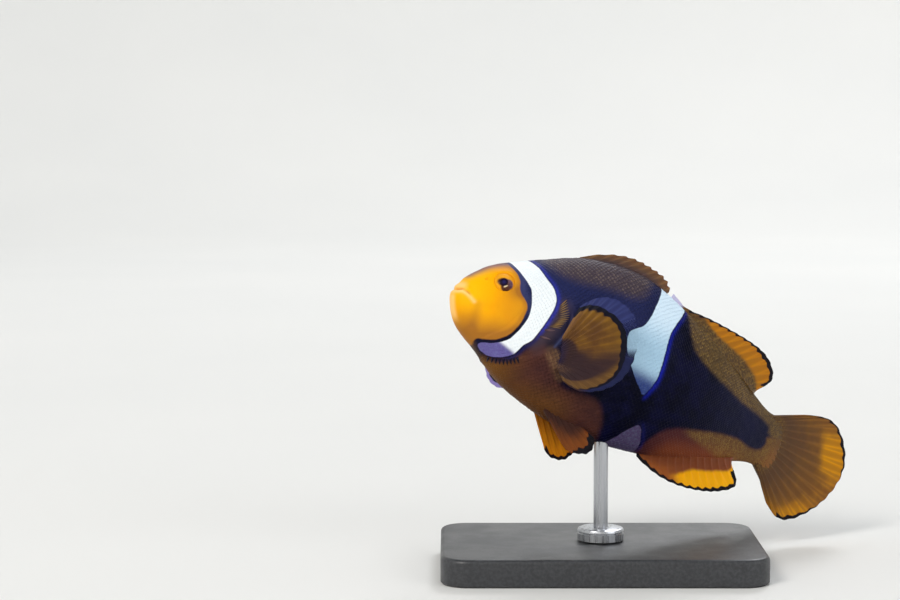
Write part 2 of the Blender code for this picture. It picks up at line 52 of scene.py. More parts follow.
# -------------------- the fish's main sizes and pose
LENGTH = 71.0               # snout to the end of the tail stalk
DEPTH = 32.4
WIDTH = 14.8
NOSE_UP = math.radians(25.2)
TURN = math.radians(15.0)
ROLL = math.radians(10.65)
TAIL_SWING = math.radians(20.0)
FIN_RETURN = math.radians(9.0)
BEND_FROM, BEND_TO = 0.34, 1.01
RETURN_FROM, RETURN_TO = 1.04, 1.32
ROD_STATION = 0.515
SOCKET_DEPTH = 4.7          # how far the rod's tip stands inside the belly
COAT_DEPTH = 0.10           # how far the bare skin lies inside the scaled outline

MOUTH_HEIGHT = 0.0185
BACK = (
    (0, MOUTH_HEIGHT), (0.0155, 0.108), (0.070, 0.231), (0.169, 0.364), (0.282, 0.491), (0.394, 0.550),
    (0.479, 0.550), (0.563, 0.509), (0.662, 0.441), (0.789, 0.349), (0.901, 0.256), (1, 0.204),
    (1.06, 0.225))
BELLY = (
    (0, MOUTH_HEIGHT), (0.0113, -0.074), (0.048, -0.167), (0.113, -0.244), (0.186, -0.337),
    (0.290, -0.405), (0.408, -0.440), (0.521, -0.424), (0.634, -0.380), (0.761, -0.300),
    (0.887, -0.194), (1, -0.123), (1.06, -0.150))
FLANK = (
    (0, 0), (0.014, 0.165), (0.048, 0.262), (0.099, 0.345), (0.169, 0.430), (0.282, 0.493),
    (0.394, 0.500), (0.507, 0.460), (0.634, 0.375), (0.775, 0.262), (0.887, 0.165), (1, 0.085),
    (1.06, 0.030))
WIDEST_HEIGHT = (
    (0, MOUTH_HEIGHT), (0.085, 0.012), (0.282, -0.022), (0.423, 0.005), (0.634, 0.030), (1, 0.043),
    (1.06, 0.045))
BACK_RIDGE = 1.14
BELLY_FULLNESS = 0.94
SKIN_END = 1.052            # the skin runs a little way onto the tail fin

# -------------------- lines on the body: side view, millimetres
GILL_EDGE = (
    (11.7, 20.1), (13.5, 13.0), (16.8, 8.5), (19.9, 5.3), (20.4, 2.4), (19.2, -1.8), (15.3, -6.2),
    (9.9, -8.5), (7.1, -9.7), (5.7, -13.6))
CHEEK_EDGE = (
    (24.1, 10.7), (17.0, 9.8), (13.5, 7.6), (11.8, 4.2), (11.1, 0.3), (9.1, -3.6), (7.0, -6.2),
    (7.2, -8.6), (10.7, -11.7))
MOUTH_LINE = ((-1.5, 0.80), (0.1, 0.80), (0.5, 0.92), (0.9, 1.02), (1.5, 0.82), (2.4, 0.35))
LIP_FOLD = ((0.8, 0.62), (1.6, 0.36), (2.4, -0.02), (3.3, -0.55))
JAW_CREASE = ((4.1, -0.9), (4.4, -2.3), (4.6, -3.6), (5.0, -4.9))
NOSTRIL = (4.1, 4.3)
PECTORAL_PAD = (20.4, -4.6)
# Middle of the painted shade in the recess between the gill cover and the pectoral fin's root.
PECTORAL_PIT = (19.9, -0.7)
PAD_LINE = ((19.1, -3.8), (20.0, -4.6), (21.0, -5.5), (22.4, -6.7))
# Line of a painted bluish glint beside the pectoral fin's leading edge.
AXIL = ((20.2, 0.4), (19.7, -1.2), (19.2, -2.6))
DUSKY_GILL = ((18.4, 4.6), (18.4, 3.0), (18.0, 1.2), (17.1, -1.2), (15.8, -3.4))
# Spines on the rear edge of the gill cover: the lines their roots and tips follow, and two soft ones below.
COMB_ROOTS = ((17.6, 4.6), (17.7, 3.6), (17.9, 2.8), (17.8, 1.8), (17.0, 0.4))
COMB_TIPS = ((18.5, 6.3), (19.2, 4.9), (19.95, 3.3), (19.6, 2.3), (19.1, 0.9))
COMB_SPINES = 14
SOFT_COMB = (((16.4, -0.6), (18.2, 0.1)), ((16.0, -2.0), (18.0, -1.7)))
FRINGE_ROOTS = ((9.9, -8.4), (11.9, -8.0), (13.9, -6.9))
FRINGE_TIPS = ((10.2, -9.1), (12.4, -8.9), (14.7, -7.7))
FRINGE_SPINES = 9

# Closed outlines of the markings, side view, the same on both sides.
FACE = (
    (-4, -14), (-4, 14), (6.0, 14), (6.8, 10.5), (7.5, 8.6), (8.2, 7.9), (9.0, 7.1), (9.7, 6.0),
    (9.9, 4.8), (10.4, 3.9), (11.5, 3.0), (12.1, 2.0), (12.15, 0.5), (12.0, -1.0), (11.5, -2.6),
    (10.6, -4.2), (9.0, -5.5), (7.5, -5.95), (6.7, -6.15), (6.4, -6.6), (6.9, -7.4), (7.6, -9),
    (8, -14))
HEAD_BAR = (
    (5.6, 13.5), (6.9, 10.4), (7.8, 9.3), (8.7, 8.4), (10.1, 7.2), (11.4, 6.0), (12.1, 5.0),
    (12.8, 2.3), (12.9, 0.5), (12.5, -1.4), (11.9, -3.2), (11.0, -4.8), (9.3, -6.0), (8.0, -6.4),
    (7.4, -6.7), (7.4, -7.1), (8.3, -7.8), (9.8, -8.2), (11.3, -7.9), (12.8, -7.0), (13.5, -5.8),
    (13.9, -4.6), (14.9, -3.3), (15.5, -1.5), (16.2, 1.2), (16.7, 3.6), (16.7, 5.3), (16.1, 6.7),
    (15.3, 7.7), (14.0, 8.7), (12.7, 9.9), (11.0, 11.0), (10.0, 12.2), (9.2, 14))
MIDDLE_BAR = (
    (37.6, 20), (36.6, 17.1), (35.4, 13.0), (34.6, 9.9), (33.7, 7.9), (32.6, 7.0), (31.5, 5.8),
    (31.4, 4.6), (31.7, 3.4), (32.3, 2.1), (33.4, 0.7), (34.8, -0.9), (35.9, -2.0), (37.2, -3.0),
    (38.1, -3.7), (38.8, -2.2), (39.4, -0.3), (39.5, 1.5), (39.4, 4.3), (39.3, 7.2), (39.5, 9.5),
    (40.7, 12.3), (42.3, 15.2), (43.5, 17.5), (44.5, 20))
BELLY_PATCH = (
    (35.0, -16), (36.3, -13.7), (37.1, -12.5), (38.0, -10.9), (39.3, -9.2), (40.0, -8.6), (40.9, -9.1),
    (41.6, -10.2), (42.3, -11.2), (42.7, -12.7), (42.9, -16))
BREAST = (
    (3.5, -16), (5.2, -6.6), (6.7, -7.3), (8.2, -8.3), (9.9, -8.7), (11.6, -8.4), (13.2, -7.5),
    (14.3, -5.6), (15.6, -4.0), (16.9, -2.8), (18.3, -3.4), (19.9, -4.2), (21.4, -6.4), (23.6, -8.4),
    (28.3, -8.0), (30.7, -8.1), (32.6, -9.8), (33.9, -12.2), (34.3, -17), (20, -19))
ANAL_BASE = (
    (43.4, -18), (43.0, -12.3), (43.5, -9.9), (45.2, -7.4), (47.8, -5.8), (51.5, -4.6), (56.6, -3.0),
    (62.2, -1.8), (66.5, -1.9), (69.2, -1.2), (70.4, 0.4), (70.8, 2.0), (80, 2.5), (80, -14), (60, -18))
REAR_GOLD = (
    (43.6, 20), (43.2, 13.9), (44.3, 10.2), (46.0, 8.2), (50.3, 6.5), (55.1, 5.5), (60.1, 4.6),
    (66, 4.3), (69.6, 3.6), (70.6, 2.2), (80, 2.4), (80, 14), (62, 20))
SHOULDER = (
    (13.5, 12.0), (17.8, 10.6), (21.7, 11.0), (24.4, 11.6), (27.2, 12.0), (30.0, 12.3), (32.2, 13.3),
    (33.5, 16.0), (34.4, 21), (20, 21), (12, 16))

EYE_STATION = 0.100
EYE_HEIGHT = 0.152
EYE_RADIUS = 2.2
EYE_INSET = 1.05
EYE_FLATNESS = 0.72
EYE_GAZE = (-0.28, 0.90, 0.34)
PUPIL_SHIFT = (0.10, -0.40)     # of the pupil on the eyeball: forward and up, in millimetres
# The dusky iris as overlapping ovals on the eyeball: forward, up, and the two half widths.
IRIS_PATCHES = ((-0.15, -0.43, 1.50, 0.86), (-0.52, -1.00, 0.94, 0.94), (-0.86, -0.38, 0.84, 0.94))


# -------------------- curves and the body's surface
def spline(stations):
    """The natural cubic spline through (x, y) stations, as a function of an array."""
    xs, ys = (np.array(column, float) for column in zip(*stations))
    step = np.diff(xs)
    slope = np.diff(ys) / step
    count = len(xs)
    system = np.eye(count)
    right = np.zeros(count)
    for i in range(1, count - 1):
        system[i, i - 1:i + 2] = step[i - 1], 2 * (step[i - 1] + step[i]), step[i]
        right[i] = 6 * (slope[i] - slope[i - 1])
    second = np.linalg.solve(system, right)

    def read(x):
        x = np.asarray(x, float)
        i = np.clip(np.searchsorted(xs, x) - 1, 0, count - 2)
        before, after = x - xs[i], xs[i + 1] - x
        curved = (second[i] * after ** 3 + second[i + 1] * before ** 3) / (6 * step[i])
        straight = (ys[i] / step[i] - second[i] * step[i] / 6) * after
        return curved + straight + (ys[i + 1] / step[i] - second[i + 1] * step[i] / 6) * before

    return read


def profile(stations, size):
    """A body profile, run in the square root of the share so that the snout is round."""
    read = spline([(math.sqrt(share), value * size) for share, value in stations])
    return lambda share: read(np.sqrt(share))


def curve(points):
    """A smooth curve through points of any dimension, read by the share of its length."""
    points = np.array(points, float)
    along = np.concatenate([[0], np.cumsum(np.linalg.norm(np.diff(points, axis=0), axis=1))])
    along /= along[-1]
    axes = [spline(list(zip(along, points[:, axis]))) for axis in range(points.shape[1])]
    return lambda share: np.stack([axis(share) for axis in axes], axis=-1)


back = profile(BACK, DEPTH)
belly = profile(BELLY, DEPTH)
flank = profile(FLANK, WIDTH)
widest_height = profile(WIDEST_HEIGHT, DEPTH)


def body_surface(share, angle):
    """Points of the plain body; the angle is 0 at the left flank and a quarter turn at the back."""
    side, rise = np.cos(angle), np.sin(angle)
    middle = widest_height(share)
    reach = np.where(rise > 0, back(share) - middle, middle - belly(share))
    power = np.where(rise > 0, BACK_RIDGE, BELLY_FULLNESS)
    half = flank(share) * np.sign(side) * np.abs(side) ** power
    return np.stack(np.broadcast_arrays(share * LENGTH, half, middle + reach * rise), axis=-1)


def ease(value, low, high):
    """0 below low, 1 above high, smooth between."""
    t = np.clip((np.asarray(value, float) - low) / (high - low), 0, 1)
    return t * t * (3 - 2 * t)


def fade(value, low, high):
    """1 below low, 0 above high."""
    return 1 - ease(value, low, high)


def bump(distance, width):
    """A bell, 1 where the distance is 0."""
    return np.exp(-(distance / width) ** 2)


# -------------------- from the straight fish to the scene
def heading(x):
    """How far the body is turned from the head's line at x, by the tail's swing and the fin's return."""
    share = np.asarray(x, float) / LENGTH
    return TAIL_SWING * ease(share, BEND_FROM, BEND_TO) - FIN_RETURN * ease(share, RETURN_FROM, RETURN_TO)


SPINE_X = np.linspace(0, 1.5 * LENGTH, 1200)
SPINE_BACK, SPINE_RIGHT = (np.concatenate([[0], np.cumsum(part(heading(SPINE_X[1:])) * np.diff(SPINE_X))])
                           for part in (np.cos, np.sin))


def swim_axes():
    """Unit vectors towards the snout, the fish's left and its back."""
    level = math.cos(NOSE_UP)
    forward = Vector((-level * math.cos(TURN), -level * math.sin(TURN), math.sin(NOSE_UP)))
    level_left = Vector((0, 0, 1)).cross(forward).normalized()
    left = level_left * math.cos(ROLL) + forward.cross(level_left) * math.sin(ROLL)
    return np.array(forward), np.array(left), np.array(forward.cross(left))


FORWARD, LEFT, UP = swim_axes()


def bend_and_turn(points):
    """Straight-fish points, measured from the snout, in the scene's directions."""
    x, y, z = np.moveaxis(np.asarray(points, float), -1, 0)
    angle = heading(np.maximum(x, 0))
    along = np.where(x > 0, np.interp(x, SPINE_X, SPINE_BACK), x) + y * np.sin(angle)
    across = y * np.cos(angle) - np.interp(x, SPINE_X, SPINE_RIGHT)
    return -along[..., None] * FORWARD + across[..., None] * LEFT + z[..., None] * UP


def in_millimetres(box):
    """The low and high corners of a box of the frame."""
    return (np.array(corner) / MM for corner in box)


# The rod's tip tells where the snout is.
rod_low, rod_high = in_millimetres(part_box("stand_rod"))
rod_axis = ((rod_low + rod_high) / 2)[:2]
rod_entry = np.array([*rod_axis, rod_high[2] - SOCKET_DEPTH])
SNOUT = rod_entry - bend_and_turn(body_surface(np.array(ROD_STATION), np.array(-math.pi / 2)))


def to_scene(points):
    """Straight-fish points as scene points, in metres."""
    return (bend_and_turn(points) + SNOUT) * MM


# -------------------- mesh building
def add_object(name, data):
    item = bpy.data.objects.new(name, data)
    bpy.context.scene.collection.objects.link(item)
    return item


def make_mesh(name, points, faces, uv=None, floats=None):
    """A mesh piece from scene points and lists of faces; each list holds faces of one size."""
    mesh = bpy.data.meshes.new(name)
    mesh.vertices.add(len(points))
    mesh.vertices.foreach_set("co", np.asarray(points, np.float32).ravel())
    faces = [np.atleast_2d(np.asarray(group, np.int32)) for group in faces]
    corners = np.concatenate([group.ravel() for group in faces])
    sizes = np.concatenate([np.full(len(group), group.shape[1]) for group in faces])
    mesh.loops.add(len(corners))
    mesh.loops.foreach_set("vertex_index", corners)
    mesh.polygons.add(len(sizes))
    mesh.polygons.foreach_set("loop_start", np.concatenate([[0], np.cumsum(sizes)[:-1]]).astype(np.int32))
    mesh.update(calc_edges=True)
    if uv is not None:
        layer = mesh.uv_layers.new(name="OFBake")
        layer.uv.foreach_set("vector", np.asarray(uv, np.float32)[corners].ravel())
    for key, values in (floats or {}).items():
        attribute = mesh.attributes.new(key, "FLOAT", "POINT")
        attribute.data.foreach_set("value", np.asarray(values, np.float32).ravel())
    mesh.validate()
    mesh.polygons.foreach_set("use_smooth", np.full(len(mesh.polygons), True))
    mesh.update()
    return add_object(name, mesh)


def grid_faces(rows, columns, wrap=False, start=0):
    """Quads of a grid of points, row by row; a wrapped grid closes on itself across the columns."""
    row = np.arange(rows - 1)[:, None]
    column = np.arange(columns if wrap else columns - 1)[None, :]
    after = (column + 1) % columns
    a, b = row * columns + column, row * columns + after
    return np.stack([a, b, b + columns, a + columns], axis=-1).reshape(-1, 4) + start


def grid_normals(points, wrap):
    """Unit normals of a grid of points, by central differences."""
    along = np.gradient(points, axis=0)
    if wrap:
        across = (np.roll(points, -1, axis=1) - np.roll(points, 1, axis=1)) / 2
    else:
        across = np.gradient(points, axis=1)
    normal = np.cross(along, across)
    return normal / np.maximum(np.linalg.norm(normal, axis=-1, keepdims=True), 1e-12)


# -------------------- distances in side view
LINE_SAMPLES = 40           # points on a smooth open line
BETWEEN_CORNERS = (0, 0.34, 0.67)       # places of points from one corner of an outline to the next


def segment_distance(x, z, line):
    """Distance to a polyline in side view, with the nearest point's x and the side (above 0 to its left)."""
    x, z = np.asarray(x, float).ravel(), np.asarray(z, float).ravel()
    best = np.full(len(x), 1e9)
    near_x = np.zeros(len(x))
    side = np.zeros(len(x))
    for (ax, az), (bx, bz) in zip(line[:-1], line[1:]):
        dx, dz = bx - ax, bz - az
        share = np.clip(((x - ax) * dx + (z - az) * dz) / max(dx * dx + dz * dz, 1e-12), 0, 1)
        px, pz = ax + share * dx, az + share * dz
        gap = np.hypot(x - px, z - pz)
        closer = gap < best
        best = np.where(closer, gap, best)
        near_x = np.where(closer, px, near_x)
        side = np.where(closer, dx * (z - az) - dz * (x - ax), side)
    return best, near_x, side


def zone_distance(x, z, outline):
    """Signed distance to a rounded closed outline, above 0 inside, and the x of its nearest point."""
    corners = np.array(outline, float)
    before, here, after, beyond = (np.roll(corners, shift, axis=0) for shift in (1, 0, -1, -2))
    rounded = [0.5 * (2 * here + (after - before) * t + (2 * before - 5 * here + 4 * after - beyond) * t * t
                      + (3 * here - before - 3 * after + beyond) * t ** 3) for t in BETWEEN_CORNERS]
    line = np.stack(rounded, axis=1).reshape(-1, 2)
    line = np.concatenate([line, line[:1]])
    gap, near_x, _ = segment_distance(x, z, line)
    px, pz = np.asarray(x, float).ravel(), np.asarray(z, float).ravel()
    inside = np.zeros(len(px), bool)
    for (ax, az), (bx, bz) in zip(line[:-1], line[1:]):
        crosses = (az > pz) != (bz > pz)
        if crosses.any():
            inside ^= crosses & (px < ax + (pz - az) * (bx - ax) / (bz - az))
    return np.where(inside, gap, -gap).reshape(np.shape(x)), near_x.reshape(np.shape(x))


def line_distance(x, z, points):
    """Distance to a smooth open line in side view; the sign is above 0 on the line's left."""
    gap, _, side = segment_distance(x, z, curve(points)(np.linspace(0, 1, LINE_SAMPLES)))
    return (gap * np.where(side >= 0, 1, -1)).reshape(np.shape(x))


# -------------------- markings, and painted light and shade
def marks_and_painted_light(x, y, z):
    """What the colour nodes read at each point: signed distances in millimetres, and weights from 0 to 1,
    for the markings and for the painted light and shade.
    """
    def near(line, width):
        return bump(line_distance(x, z, line), width)

    face, breast, anal, rear_gold, shoulder = (
        zone_distance(x, z, outline)[0] for outline in (FACE, BREAST, ANAL_BASE, REAR_GOLD, SHOULDER))
    (head_bar, head_near), (middle_bar, middle_near), (patch, patch_near) = (
        zone_distance(x, z, outline) for outline in (HEAD_BAR, MIDDLE_BAR, BELLY_PATCH))
    by_head_bar, by_middle_bar, by_patch = (bar > -1.5 for bar in (head_bar, middle_bar, patch))
    white = np.maximum(np.maximum(head_bar, middle_bar), patch)
    near_x = np.where(head_bar == white, head_near, np.where(middle_bar == white, middle_near, patch_near))
    rim = bump(white + 0.36, 0.42) * (white < 0.02) * ease(x - near_x, 0.0, 0.35) * (1 - 0.8 * by_patch)
    rim *= np.where(by_middle_bar, 0.35 + 0.65 * bump(z - 3.5, 9.0), 1)
    anal_flecks = ease(x, 48, 52) * ease(anal, -0.5, 0.5) * fade(anal - 0.9 - 0.35 * (x - 50), -0.7, 0.7)
    crown = ease(2.0 + 0.10 * x - np.abs(y), -0.5, 1.7) * ease(z, 2.2, 4.2) * fade(x, 12.0, 15.0)
    mouth = line_distance(x, z, MOUTH_LINE)
    # A painted highlight along the chin's front edge, pinkish like the lips.
    chin_highlight = fade(np.abs(y), 0.8, 1.8) * fade(x, 2.5, 4.0) * ease(-z, -0.4, 0.8) * ease(z, -5.0, -3.0)
    lips = bump(mouth - 0.75, 0.80) * fade(x, 0.6, 1.8) + bump(mouth + 0.45, 0.35) * fade(x, 0.5, 1.2)
    # Painted shade along the mouth's slit.
    slit = bump(mouth, 0.13) * (0.35 * ease(x, 0.0, 0.6) + 0.65 * ease(x, 1.2, 1.8)) * fade(x, 1.9, 2.6)
    # Painted shade: lower cheek and jaw, jaw crease, behind the eye, face's rear; the face edge's tan is own
    # colour.
    cheek = 0.30 * near(JAW_CREASE, 0.9) + ease(-z, 0.8, 6.4) * ease(x, 0.5, 3.0)
    cheek += 0.35 * ease(face, 1.2, 0.2) + 0.50 * bump(np.hypot(x - 9.4, z - 3.9), 1.4)
    cheek += 0.28 * ease(x, 5.5, 9.0) + 0.18 * ease(x, 8.5, 11.5)
    # Distance from the middle of the painted shade in the recess at the pectoral fin's root.
    pit_shade = np.hypot((x - PECTORAL_PIT[0]) / 1.5, (z - PECTORAL_PIT[1]) / 2.4)
    distances = {"face": face, "white": white, "breast": breast, "anal": anal}
    weights = {
        "rim": rim,
        "rim_dark": ease(-z, -0.5, 3.5) * by_head_bar,
        "gold": np.maximum(ease(rear_gold, -0.5, 0.9), anal_flecks),
        "shoulder": ease(shoulder, -1.6, 1.4),
        # Painted shade: the head bar's white turns violet at its lower end.
        "violet": ease(-z - 5.4 - 0.32 * (x - 10.2), -0.5, 0.7) * fade(x, 13.0, 14.2) * by_head_bar,
        "middle": by_middle_bar * (0.5 - 0.25 * ease(z, 3, 14) + 0.5 * ease(-z, -2.2, 2.6)),
        # The white belly patch, shown violet grey by painted shade.
        "patch": by_patch,
        "crown": crown * ease(x, 0.4, 1.6),
        # Pale lips and lip fold, and the painted highlight along the chin's front edge.
        "lips": lips + 0.9 * near(LIP_FOLD, 0.32) + 0.85 * chin_highlight,
        "slit": slit,
        "cheek": cheek,
        "light": fade(x, 2.2, 7.0) * ease(z, -3.5, 1.0),
        "rear": ease(x, 42, 66),
        # A painted glint: a bluish streak beside the pectoral fin's leading edge.
        "axil_glint": near(AXIL, 0.25),
        "dusky": near(DUSKY_GILL, 1.5),
        "pad": ease(-np.abs(line_distance(x, z, PAD_LINE)), -1.7, -0.6),
        "pit_shade": bump(pit_shade, 0.9),
        # Share of painted light from above: lighter navy on the upper flank, and a bluish highlight on the
        # band behind the face.
        "upper": ease(z, -3.0, 7.0) * fade(x, 30, 44),
        "throat": np.maximum(fade(x + 0.6 * (z + 9), 6, 19), 0.40 * ease(-z, 8.0, 12.5) * fade(x, 23, 30)),
    }
    return distances | {key: np.clip(value, 0, 1) for key, value in weights.items()}


# -------------------- the skin
SKIN_SIDES = 224
FINE_UNTIL = 23.0           # the head's rings end here, in millimetres from the snout
RING_STEP, RING_GROWTH = 0.118, 0.0052      # between rings on the head, and its growth behind it


def skin_stations():
    """Ring places in millimetres from the snout: close together on the head, wider towards the tail."""
    snout = LENGTH * np.linspace(0.02, math.sqrt(1.0 / LENGTH), 18) ** 2
    stations = list(np.arange(1.0, FINE_UNTIL, RING_STEP)[1:])
    while stations[-1] < SKIN_END * LENGTH:
        stations.append(stations[-1] + RING_STEP + RING_GROWTH * (stations[-1] - FINE_UNTIL + 0.4))
    return np.concatenate([snout, stations])


def equal_angles(share, count):
    """Angles that space points evenly round a ring, from the belly over the left flank and back."""
    fine = np.linspace(-math.pi / 2, 1.5 * math.pi, 1441)
    ring = body_surface(np.full(len(fine), share), fine)
    along = np.concatenate([[0], np.cumsum(np.linalg.norm(np.diff(ring, axis=0), axis=1))])
    return np.interp(np.arange(count) / count, along / along[-1], fine)


def eye_frame(side):
    """The eyeball's middle and its unit gaze, for the left (1) or right (-1) side."""
    height = EYE_HEIGHT * DEPTH
    middle, top = widest_height(EYE_STATION), back(EYE_STATION)
    surface = body_surface(np.array(EYE_STATION), np.array(math.asin((height - middle) / (top - middle))))
    gaze = np.array(EYE_GAZE) * (1, side, 1)
    gaze /= np.linalg.norm(gaze)
    return np.array([surface[0], side * surface[1], height]) - gaze * EYE_INSET, gaze


def relief(points):
    """How far the skin stands out from, or sinks into, the plain body."""
    x, _, z = np.moveaxis(points, -1, 0)
    mouth, fold, crease, cheek, gill = (
        line_distance(x, z, line) for line in (MOUTH_LINE, LIP_FOLD, JAW_CREASE, CHEEK_EDGE, GILL_EDGE))
    front = fade(x, 0.5, 2.2)
    near_mouth = fade(x, 1.9, 2.8)
    out = -COAT_DEPTH * ease(-zone_distance(x, z, FACE)[0], -0.2, 1.5)
    out -= 0.75 * bump(mouth, 0.17) * near_mouth * (1 - 0.8 * ease(x, 0.3, 1.3))
    out += 0.10 * bump(mouth - 0.50, 0.30) * near_mouth + 0.22 * bump(mouth - 0.85, 0.45) * front
    out -= 0.26 * front * ease(mouth, 0.0, 0.25) * fade(mouth, 0.9, 2.6)
    out += 0.16 * front * ease(-mouth, -0.05, 0.65) * fade(-mouth, 0.9, 3.0)
    out += 0.16 * ease(z, 4.5, 7.0) * ease(x, 2.0, 4.5) * fade(x, 11.0, 14.5)
    out += (0.08 * bump(fold, 0.32) - 0.09 * bump(fold + 0.55, 0.24) * ease(x, 0.9, 1.8)) * fade(x, 2.4, 3.3)
    out -= 0.08 * bump(crease, 0.75) * ease(z, -5.5, -2.5)
    nostril = np.hypot(x - NOSTRIL[0], z - NOSTRIL[1])
    out += 0.07 * bump(nostril - 0.30, 0.13) - 0.40 * bump(nostril, 0.16)
    for side in (1, -1):
        middle, gaze = eye_frame(side)
        offset = points - middle
        depth = offset @ gaze
        radius = np.linalg.norm(offset - depth[..., None] * gaze, axis=-1)
        brow = 0.07 * bump(radius - 2.35, 0.45) * ease(z - middle[2], 0.2, 1.8)
        rim = 0.03 * bump(radius - 2.05, 0.30)
        out += (rim + brow - 1.25 * ease(-radius, -1.86, -1.58)) * (depth > 0)
    behind = ease(-gill, -0.10, 0.20) * np.exp(-np.maximum(-gill, 0) / 0.9)
    out += (0.12 * bump(gill - 0.45, 0.55) - 0.32 * behind) * ease(z, -8.3, -6.5) * fade(z, 2.5, 5.5)
    on_cheek = ease(z, -8.0, -6.0) * fade(z, 6.5, 9.0) * fade(x, 14.5, 17.0)
    out += (0.03 * bump(cheek - 0.4, 0.45) - 0.07 * bump(cheek, 0.20)) * on_cheek
    pad = np.hypot((x - PECTORAL_PAD[0]) / 1.6, (z - PECTORAL_PAD[1]) / 2.4)
    out += 0.35 * ease(-pad, -1.15, -0.35)
    ripple = np.sin(x * 1.9 + z * 0.7) * np.sin(z * 1.6 - x * 0.4)
    return out + 0.025 * ripple * ease(x, 3.0, 8.0)


class Skin:
    """The finished skin surface, which the scales and spines are set on."""

    def __init__(self):
        self.stations = skin_stations()
        self.plain = np.array([body_surface(np.full(SKIN_SIDES, share), equal_angles(share, SKIN_SIDES))
                               for share in self.stations / LENGTH])
        normal = grid_normals(self.plain, wrap=True)
        row, flank_side = len(self.stations) // 2, SKIN_SIDES // 4
        to_flank = self.plain[row, flank_side] - self.plain[row].mean(axis=0)
        outward = np.sign(normal[row, flank_side] @ to_flank)
        self.points = self.plain + outward * normal * relief(self.plain)[..., None]
        self.top = grid_normals(self.points, wrap=True) * outward

    def read(self, grid, station, fraction):
        """A grid's value at any station (mm) and fraction of the ring (0 at the belly, 0.5 at the back)."""
        rows = len(self.stations)
        row = np.clip(np.interp(station, self.stations, np.arange(rows)), 0, rows - 1.001)
        column = np.asarray(fraction) % 1.0 * SKIN_SIDES
        r0, c0 = row.astype(int), column.astype(int) % SKIN_SIDES
        c1 = (c0 + 1) % SKIN_SIDES
        fr, fc = (row - r0)[..., None], (column - np.floor(column))[..., None]
        near, far = (grid[r, c0] * (1 - fc) + grid[r, c1] * fc for r in (r0, r0 + 1))
        return near * (1 - fr) + far * fr

    def at(self, station, fraction, height):
        """Points at a height over the skin."""
        up = self.read(self.top, station, fraction)
        return self.read(self.points, station, fraction) + up * height[..., None]

    def fraction_at(self, x, z, side):
        """The ring fraction of a side-view point on the left (1) or right (-1) side."""
        fractions = np.linspace(0.002, 0.498, 300)
        heights = self.read(self.plain, np.full(len(fractions), x), fractions)[:, 2]
        fraction = float(np.interp(z, heights, fractions))
        return fraction if side > 0 else 1 - fraction

    def perimeter(self, station):
        row = int(np.argmin(np.abs(self.stations - station)))
        along = np.linalg.norm(np.diff(self.plain[row], axis=0), axis=1).sum()
        return along * SKIN_SIDES / (SKIN_SIDES - 1)

    def unwrap(self, station, fraction):
        """The place of a skin point on the bake map."""
        return np.stack([station / self.stations[-1] * 0.98 + 0.01, fraction * 0.98 + 0.01], axis=-1)


def skin_piece(skin):
    rows, count = len(skin.stations), len(skin.stations) * SKIN_SIDES
    snout = [[-0.02, 0, MOUTH_HEIGHT * DEPTH]]
    tail = skin.points[-1].mean(axis=0, keepdims=True)
    sides = np.arange(SKIN_SIDES)
    after = (sides + 1) % SKIN_SIDES
    last = count - SKIN_SIDES
    caps = np.concatenate([np.stack([after, sides, np.full(SKIN_SIDES, count)], axis=-1),
                           np.stack([last + sides, last + after, np.full(SKIN_SIDES, count + 1)], axis=-1)])
    uv = skin.unwrap(np.repeat(skin.stations, SKIN_SIDES), np.tile(sides / SKIN_SIDES, rows))
    points, plain = (
        np.concatenate([grid.reshape(-1, 3), snout, tail]) for grid in (skin.points, skin.plain))
    floats = marks_and_painted_light(*plain.T)
    for key, value in (("tip", 0.45), ("aside", 0), ("tone", 0.5)):
        floats[key] = np.full(len(points), value)
    return make_mesh("skin", to_scene(points), [grid_faces(rows, SKIN_SIDES, wrap=True), caps],
                     np.concatenate([uv, [[0.005, 0.5], [0.995, 0.5]]]), floats)


# -------------------- scales
SCALES_ROUND = 72           # in one ring, both sides together
SCALE_ACROSS, SCALE_ALONG = 5, 4
ROW_STEP = 0.44             # between rows, as a share of the spacing in a ring
FIRST_ROW, LAST_ROW = 8.0, 73.2
# Of one scale, as shares of the spacing in a ring: half its width, its length, its roundness and its lift.
SCALE_HALF, SCALE_REACH, SCALE_ROUND, SCALE_LIFT = 0.60, 2.9 * ROW_STEP, 0.26, 0.15
PATCH = 0.003               # a scale's size on the bake map


def scale_places(skin):
    """Root stations and ring fractions of the scales, in staggered rows that close up towards the tail."""
    places = []
    station, row = FIRST_ROW, 0
    while station < LAST_ROW:
        pitch = skin.perimeter(station) / SCALES_ROUND
        fractions = (np.arange(SCALES_ROUND) + 0.5 * (row % 2)) / SCALES_ROUND
        x, _, z = skin.read(skin.plain, np.full(SCALES_ROUND, station), fractions).T
        bare = (zone_distance(x, z, FACE)[0] >= -0.4) | (np.abs(line_distance(x, z, DUSKY_GILL)) <= 2.0)
        places += [(station, fraction, pitch) for fraction in fractions[~bare]]
        station += ROW_STEP * pitch
        row += 1
    return np.array(places)


